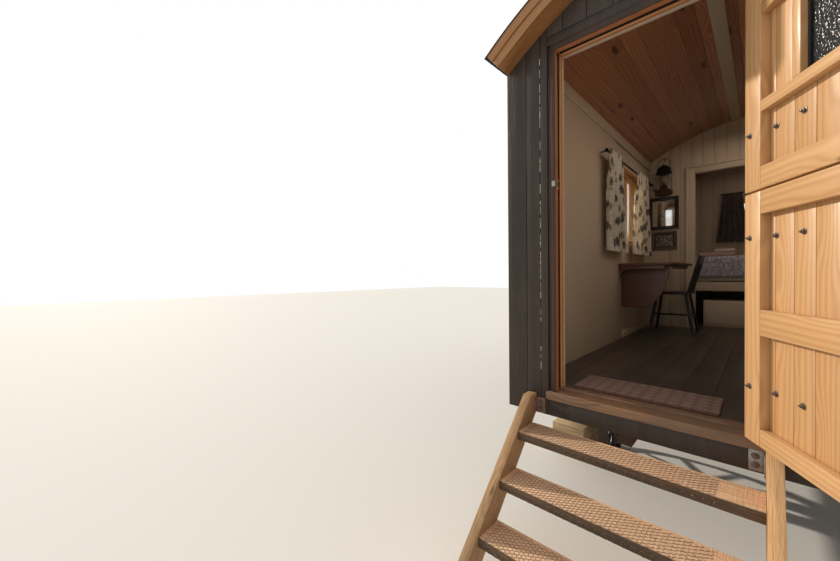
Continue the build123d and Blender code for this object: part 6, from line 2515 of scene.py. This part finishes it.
    def stuffed(self, low: Point, high: Point, name: str, finish: Cloth, node: str,
                swell: float, voxel: float, fall: float = 0.0) -> Piece:
        """Filled cloth form, blown up by a cloth simulation.

        Args:
            low: Lowest corner that it may reach.
            high: Highest corner.
            name: Name of the piece.
            finish: Cloth that it is made of.
            node: CAD node that it replaces.
            swell: Furthest that a point may move.
            voxel: Size of the mesh.
            fall: Height of the hem of a front that hangs down, if it has one.

        Returns:
            The stuffed piece.
        """
        first, last = Vector(low), Vector(high)
        inset = Vector((swell, swell, swell)) * self.swell_room
        piece = slab(tuple(first + inset), tuple(last - inset))
        if fall:
            flap = slab((first.x + inset.x, first.y - self.flap_out, fall),
                        (last.x - inset.x, first.y + inset.y + self.flap_in, last.z - self.flap_low))
            piece = join([piece, flap], "quilt")
            change(piece, "REMESH", mode="VOXEL", voxel_size=voxel)
            change(piece, "SMOOTH", factor=0.8, iterations=6)
        else:
            change(soften(piece, 0.03, 4), "REMESH", mode="VOXEL", voxel_size=voxel)
        self.blow_up(piece, swell)
        change(piece, "SUBSURF", levels=1, render_levels=1)
        place = points_of(piece)
        lay_cloth(piece, place[:, 0] - first.x, place[:, 1] - first.y - place[:, 2] + last.z)
        finished(piece, name, finish, stands_for=(node,), smooth=60.0)
        return piece

    def blow_up(self, piece: Piece, swell: float) -> None:
        """Run the cloth simulation and keep each point within its travel."""
        start = points_of(piece).copy()
        only(piece)
        cloth = piece.modifiers.new("cloth", "CLOTH")
        cloth.settings.use_pressure = True
        cloth.settings.uniform_pressure_force = self.pressure
        cloth.settings.effector_weights.gravity = 0.0
        cloth.settings.quality = 4
        cloth.point_cache.frame_start, cloth.point_cache.frame_end = 1, self.frames
        for number in range(1, self.frames + 1):
            bpy.context.scene.frame_set(number)
        bpy.ops.object.modifier_apply(modifier="cloth")
        bpy.context.scene.frame_set(1)
        moved = points_of(piece) - start
        length = np.linalg.norm(moved, axis=1, keepdims=True)
        capped = start + moved * np.minimum(1.0, swell / np.maximum(length, 1e-9))
        move_points(piece, capped)

    def bedding(self) -> None:
        """Mattress, duvet that falls over its front edge, and folded towels."""
        low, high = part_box("mattress")
        self.stuffed(low, high, "ticking_mattress", TICKING, "mattress", 0.010,
                     0.022)
        low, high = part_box("duvet")
        self.stuffed((low.x, low.y, high.z - self.duvet_depth), high, "padded_duvet", DUVET_COTTON,
                     "duvet", 0.016, 0.014, FLOOR + self.duvet_hem)
        low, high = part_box("towels")
        for index, (left, right, base, top) in enumerate(self.towel_spans):
            piece = soften(slab((left, low.y + 0.006 * index, low.z + base),
                                (right, high.y - 0.020 * index, low.z + top)), 0.018, 4)
            place = points_of(piece)
            lay_cloth(piece, place[:, 0], place[:, 1] + place[:, 2])
            finished(piece, f"folded_towel_{index + 1}", BATH_LINEN if index else TOWELLING,
                     stands_for=("towels",) if not index else (), smooth=60.0)

    def build(self) -> None:
        """Make the soft goods."""
        self.curtains()
        self.headings()
        self.bedding()


@dataclass
class Undercarriage:
    """Wheels, axles, rails, joists and the timber packing under the hut."""

    baulk: float = 0.120
    baulk_len: float = 0.480
    baulk_gap: float = 0.005
    pack_in: float = 0.820
    pack_out: float = 0.080
    floor_board: float = 0.145
    floor_ease: float = 0.002
    floor_gap: float = 0.001

    def packing(self) -> None:
        """Four stacks under the side walls: two baulks along the hut, three across them and a post."""
        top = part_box("packing_top")[1].z
        step = self.baulk + self.baulk_gap
        layers = {"packing_base": [], "packing_middle": [], "packing_top": []}
        for side in (-1, 1):
            outer = side * (HALF + self.pack_out)
            inner = outer - side * (self.baulk + step)
            for near, inward in ((FRONT + self.pack_in, 1), (BACK - self.pack_in, -1)):
                far = near + inward * self.baulk_len
                for x in (outer, inner + side * self.baulk):
                    layers["packing_base"].append(((x - side * self.baulk, near, 0.0), (x, far, self.baulk),
                                                   Axis.Y))
                for y in (near + inward * step * index for index in range(3)):
                    layers["packing_middle"].append(((inner, y, self.baulk),
                                                     (outer, y + inward * self.baulk, 2 * self.baulk),
                                                     Axis.X))
                post = (side * (HALF - self.baulk), near + inward * step, 2 * self.baulk)
                layers["packing_top"].append((post, (side * HALF, near + inward * (step + self.baulk), top),
                                              Axis.Z))
        for node, boxes in layers.items():
            made = []
            for index, (first, last, along) in enumerate(boxes):
                across = Axis.X if along is Axis.Z else Axis.Z
                made.append(bar(first, last, along, across, 250 + index + len(node), 0.005))
            finished(join(made, "baulks"), node + "_baulks", BAULK_WOOD,
                     stands_for=(node,))

    def floor(self) -> None:
        """Painted boards of the floor."""
        low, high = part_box("floor_deck")
        run = BoardRun(tuple(low), tuple(high), Axis.X, Axis.Y, self.floor_board, self.floor_ease,
                       self.floor_gap, 260)
        finished(run.build(), "floor_planks", FLOOR_PAINT, stands_for=("floor_deck",))

    def build(self) -> None:
        """Dress the running gear and make the packing and the floor."""
        for node, finish in (("wheels", IRON), ("axles", IRON), ("axle_bolsters", BEARER_WOOD),
                             ("chassis_rails", RAIL_IRON), ("floor_joists", BEARER_WOOD)):
            dress_node(node, finish)
        self.packing()
        self.floor()


@dataclass
class Stage:
    """Pale floor, soft sun, sky and camera."""

    sun_turn: float = 89.0
    sun_height: float = 24.0
    sun_power: float = 3.1
    sun_tint: Colour = (1.0, 0.90, 0.76)
    lamp_tint: Colour = (1.0, 0.80, 0.66)
    sky: float = 0.71
    sky_tint: Colour = (1.0, 0.97, 0.92)
    room_power: float = 10.5
    bed_power: float = 2.2
    lens: float = 15.086
    camera_at: Point = (-0.030, -1.980, 0.660)
    yaw: float = 44.23
    pitch: float = -0.776
    roll: float = -0.588

    def ground(self) -> None:
        """Pale ground under the hut."""
        only_none()
        bpy.ops.mesh.primitive_plane_add(size=60.0, location=(0.0, 0.0, -0.001))
        piece = settle(bpy.context.object, "studio_floor")
        piece.data.materials.append(Plain("studio_floor", (0.74, 0.73, 0.71), 0.9).material())

    def light(self) -> None:
        """Low warm sun and an even sky, white where the camera sees it."""
        turn, height = math.radians(self.sun_turn), math.radians(self.sun_height)
        source = Vector((-math.sin(turn) * math.cos(height), math.cos(turn) * math.cos(height),
                         math.sin(height)))
        bpy.ops.object.light_add(type="SUN", location=source * 8.0,
                                 rotation=source.to_track_quat("Z", "Y").to_euler())
        sun = bpy.context.object
        sun.data.energy = self.sun_power
        sun.data.color = self.sun_tint
        sun.data.angle = math.radians(1.5)
        world = bpy.context.scene.world or bpy.data.worlds.new("sky")
        bpy.context.scene.world = world
        world.use_nodes = True
        tree = world.node_tree
        tree.nodes.clear()
        graph = Graph(tree)
        path = graph.add("ShaderNodeLightPath").outputs
        seen = graph.math("MAXIMUM", path["Is Camera Ray"], path["Is Transmission Ray"])
        mixer = graph.add("ShaderNodeMixShader")
        graph.feed(mixer.inputs[0], graph.math("MAXIMUM", seen, path["Is Glossy Ray"]))
        for index, (colour, strength) in enumerate(((self.sky_tint, self.sky), ((1.0, 1.0, 1.0), 1.0))):
            back = graph.fill(graph.add("ShaderNodeBackground"), Color=colour, Strength=strength)
            graph.feed(mixer.inputs[index + 1], back.outputs[0])
        graph.fill(graph.add("ShaderNodeOutputWorld"), Surface=mixer.outputs[0])

    def room_lamp(self, low: float, high: float, power: float) -> None:
        """Broad warm lamp close under the ceiling, out of the camera's sight.

        Args:
            low: Where it starts along Y.
            high: Where it ends along Y.
            power: Its power in watts.
        """
        bpy.ops.object.light_add(type="AREA", location=(0.0, (low + high) / 2, FLOOR + 2.20))
        lamp = bpy.context.object
        lamp.data.shape = "RECTANGLE"
        lamp.data.size = 0.9
        lamp.data.size_y = high - low
        lamp.data.energy = power
        lamp.data.color = self.lamp_tint
        lamp.visible_camera = lamp.visible_glossy = lamp.visible_transmission = False

    def camera(self) -> None:
        """Camera in front of the steps, looking at the doorway."""
        yaw, pitch, roll = (math.radians(angle) for angle in (self.yaw, self.pitch, self.roll))
        ahead = Vector((-math.sin(yaw) * math.cos(pitch), math.cos(yaw) * math.cos(pitch), math.sin(pitch)))
        level = Vector((math.cos(yaw), math.sin(yaw), 0.0))
        upright = level.cross(ahead)
        right = level * math.cos(roll) + upright * math.sin(roll)
        upwards = upright * math.cos(roll) - level * math.sin(roll)
        frame_matrix = Matrix((right, upwards, -ahead)).transposed().to_4x4()
        place = Vector((self.camera_at[0], FRONT + self.camera_at[1], FLOOR + self.camera_at[2]))
        bpy.ops.object.camera_add()
        camera = bpy.context.object
        camera.matrix_world = Matrix.Translation(place) @ frame_matrix
        camera.data.lens = self.lens
        camera.data.sensor_width = 36.0
        camera.data.clip_start = 0.05
        camera.data.clip_end = 200.0
        bpy.context.scene.camera = camera

    def build(self) -> None:
        """Set the stage."""
        self.ground()
        self.light()
        self.room_lamp(FRONT + WALL + 0.3, PARTITION - 0.3, self.room_power)
        self.room_lamp(PARTITION + 0.3, BACK - WALL - 0.3, self.bed_power)
        self.camera()
        bpy.context.scene.view_settings.view_transform = "Standard"


def main() -> None:
    """Build the hut sub-assembly by sub-assembly, then the stage."""
    logging.basicConfig(level=logging.INFO, format="%(message)s")
    make_grain_group()
    make_weather_group()
    make_weave_group()
    for assembly in (Undercarriage(), Walls(), Roof(), Doorway(), Steps(), DoorLeaves(), Windows(),
                     Furniture(), SoftGoods(), Stage()):
        LOG.info("building %s", type(assembly).__name__)
        assembly.build()


if __name__ == "__main__":
    main()
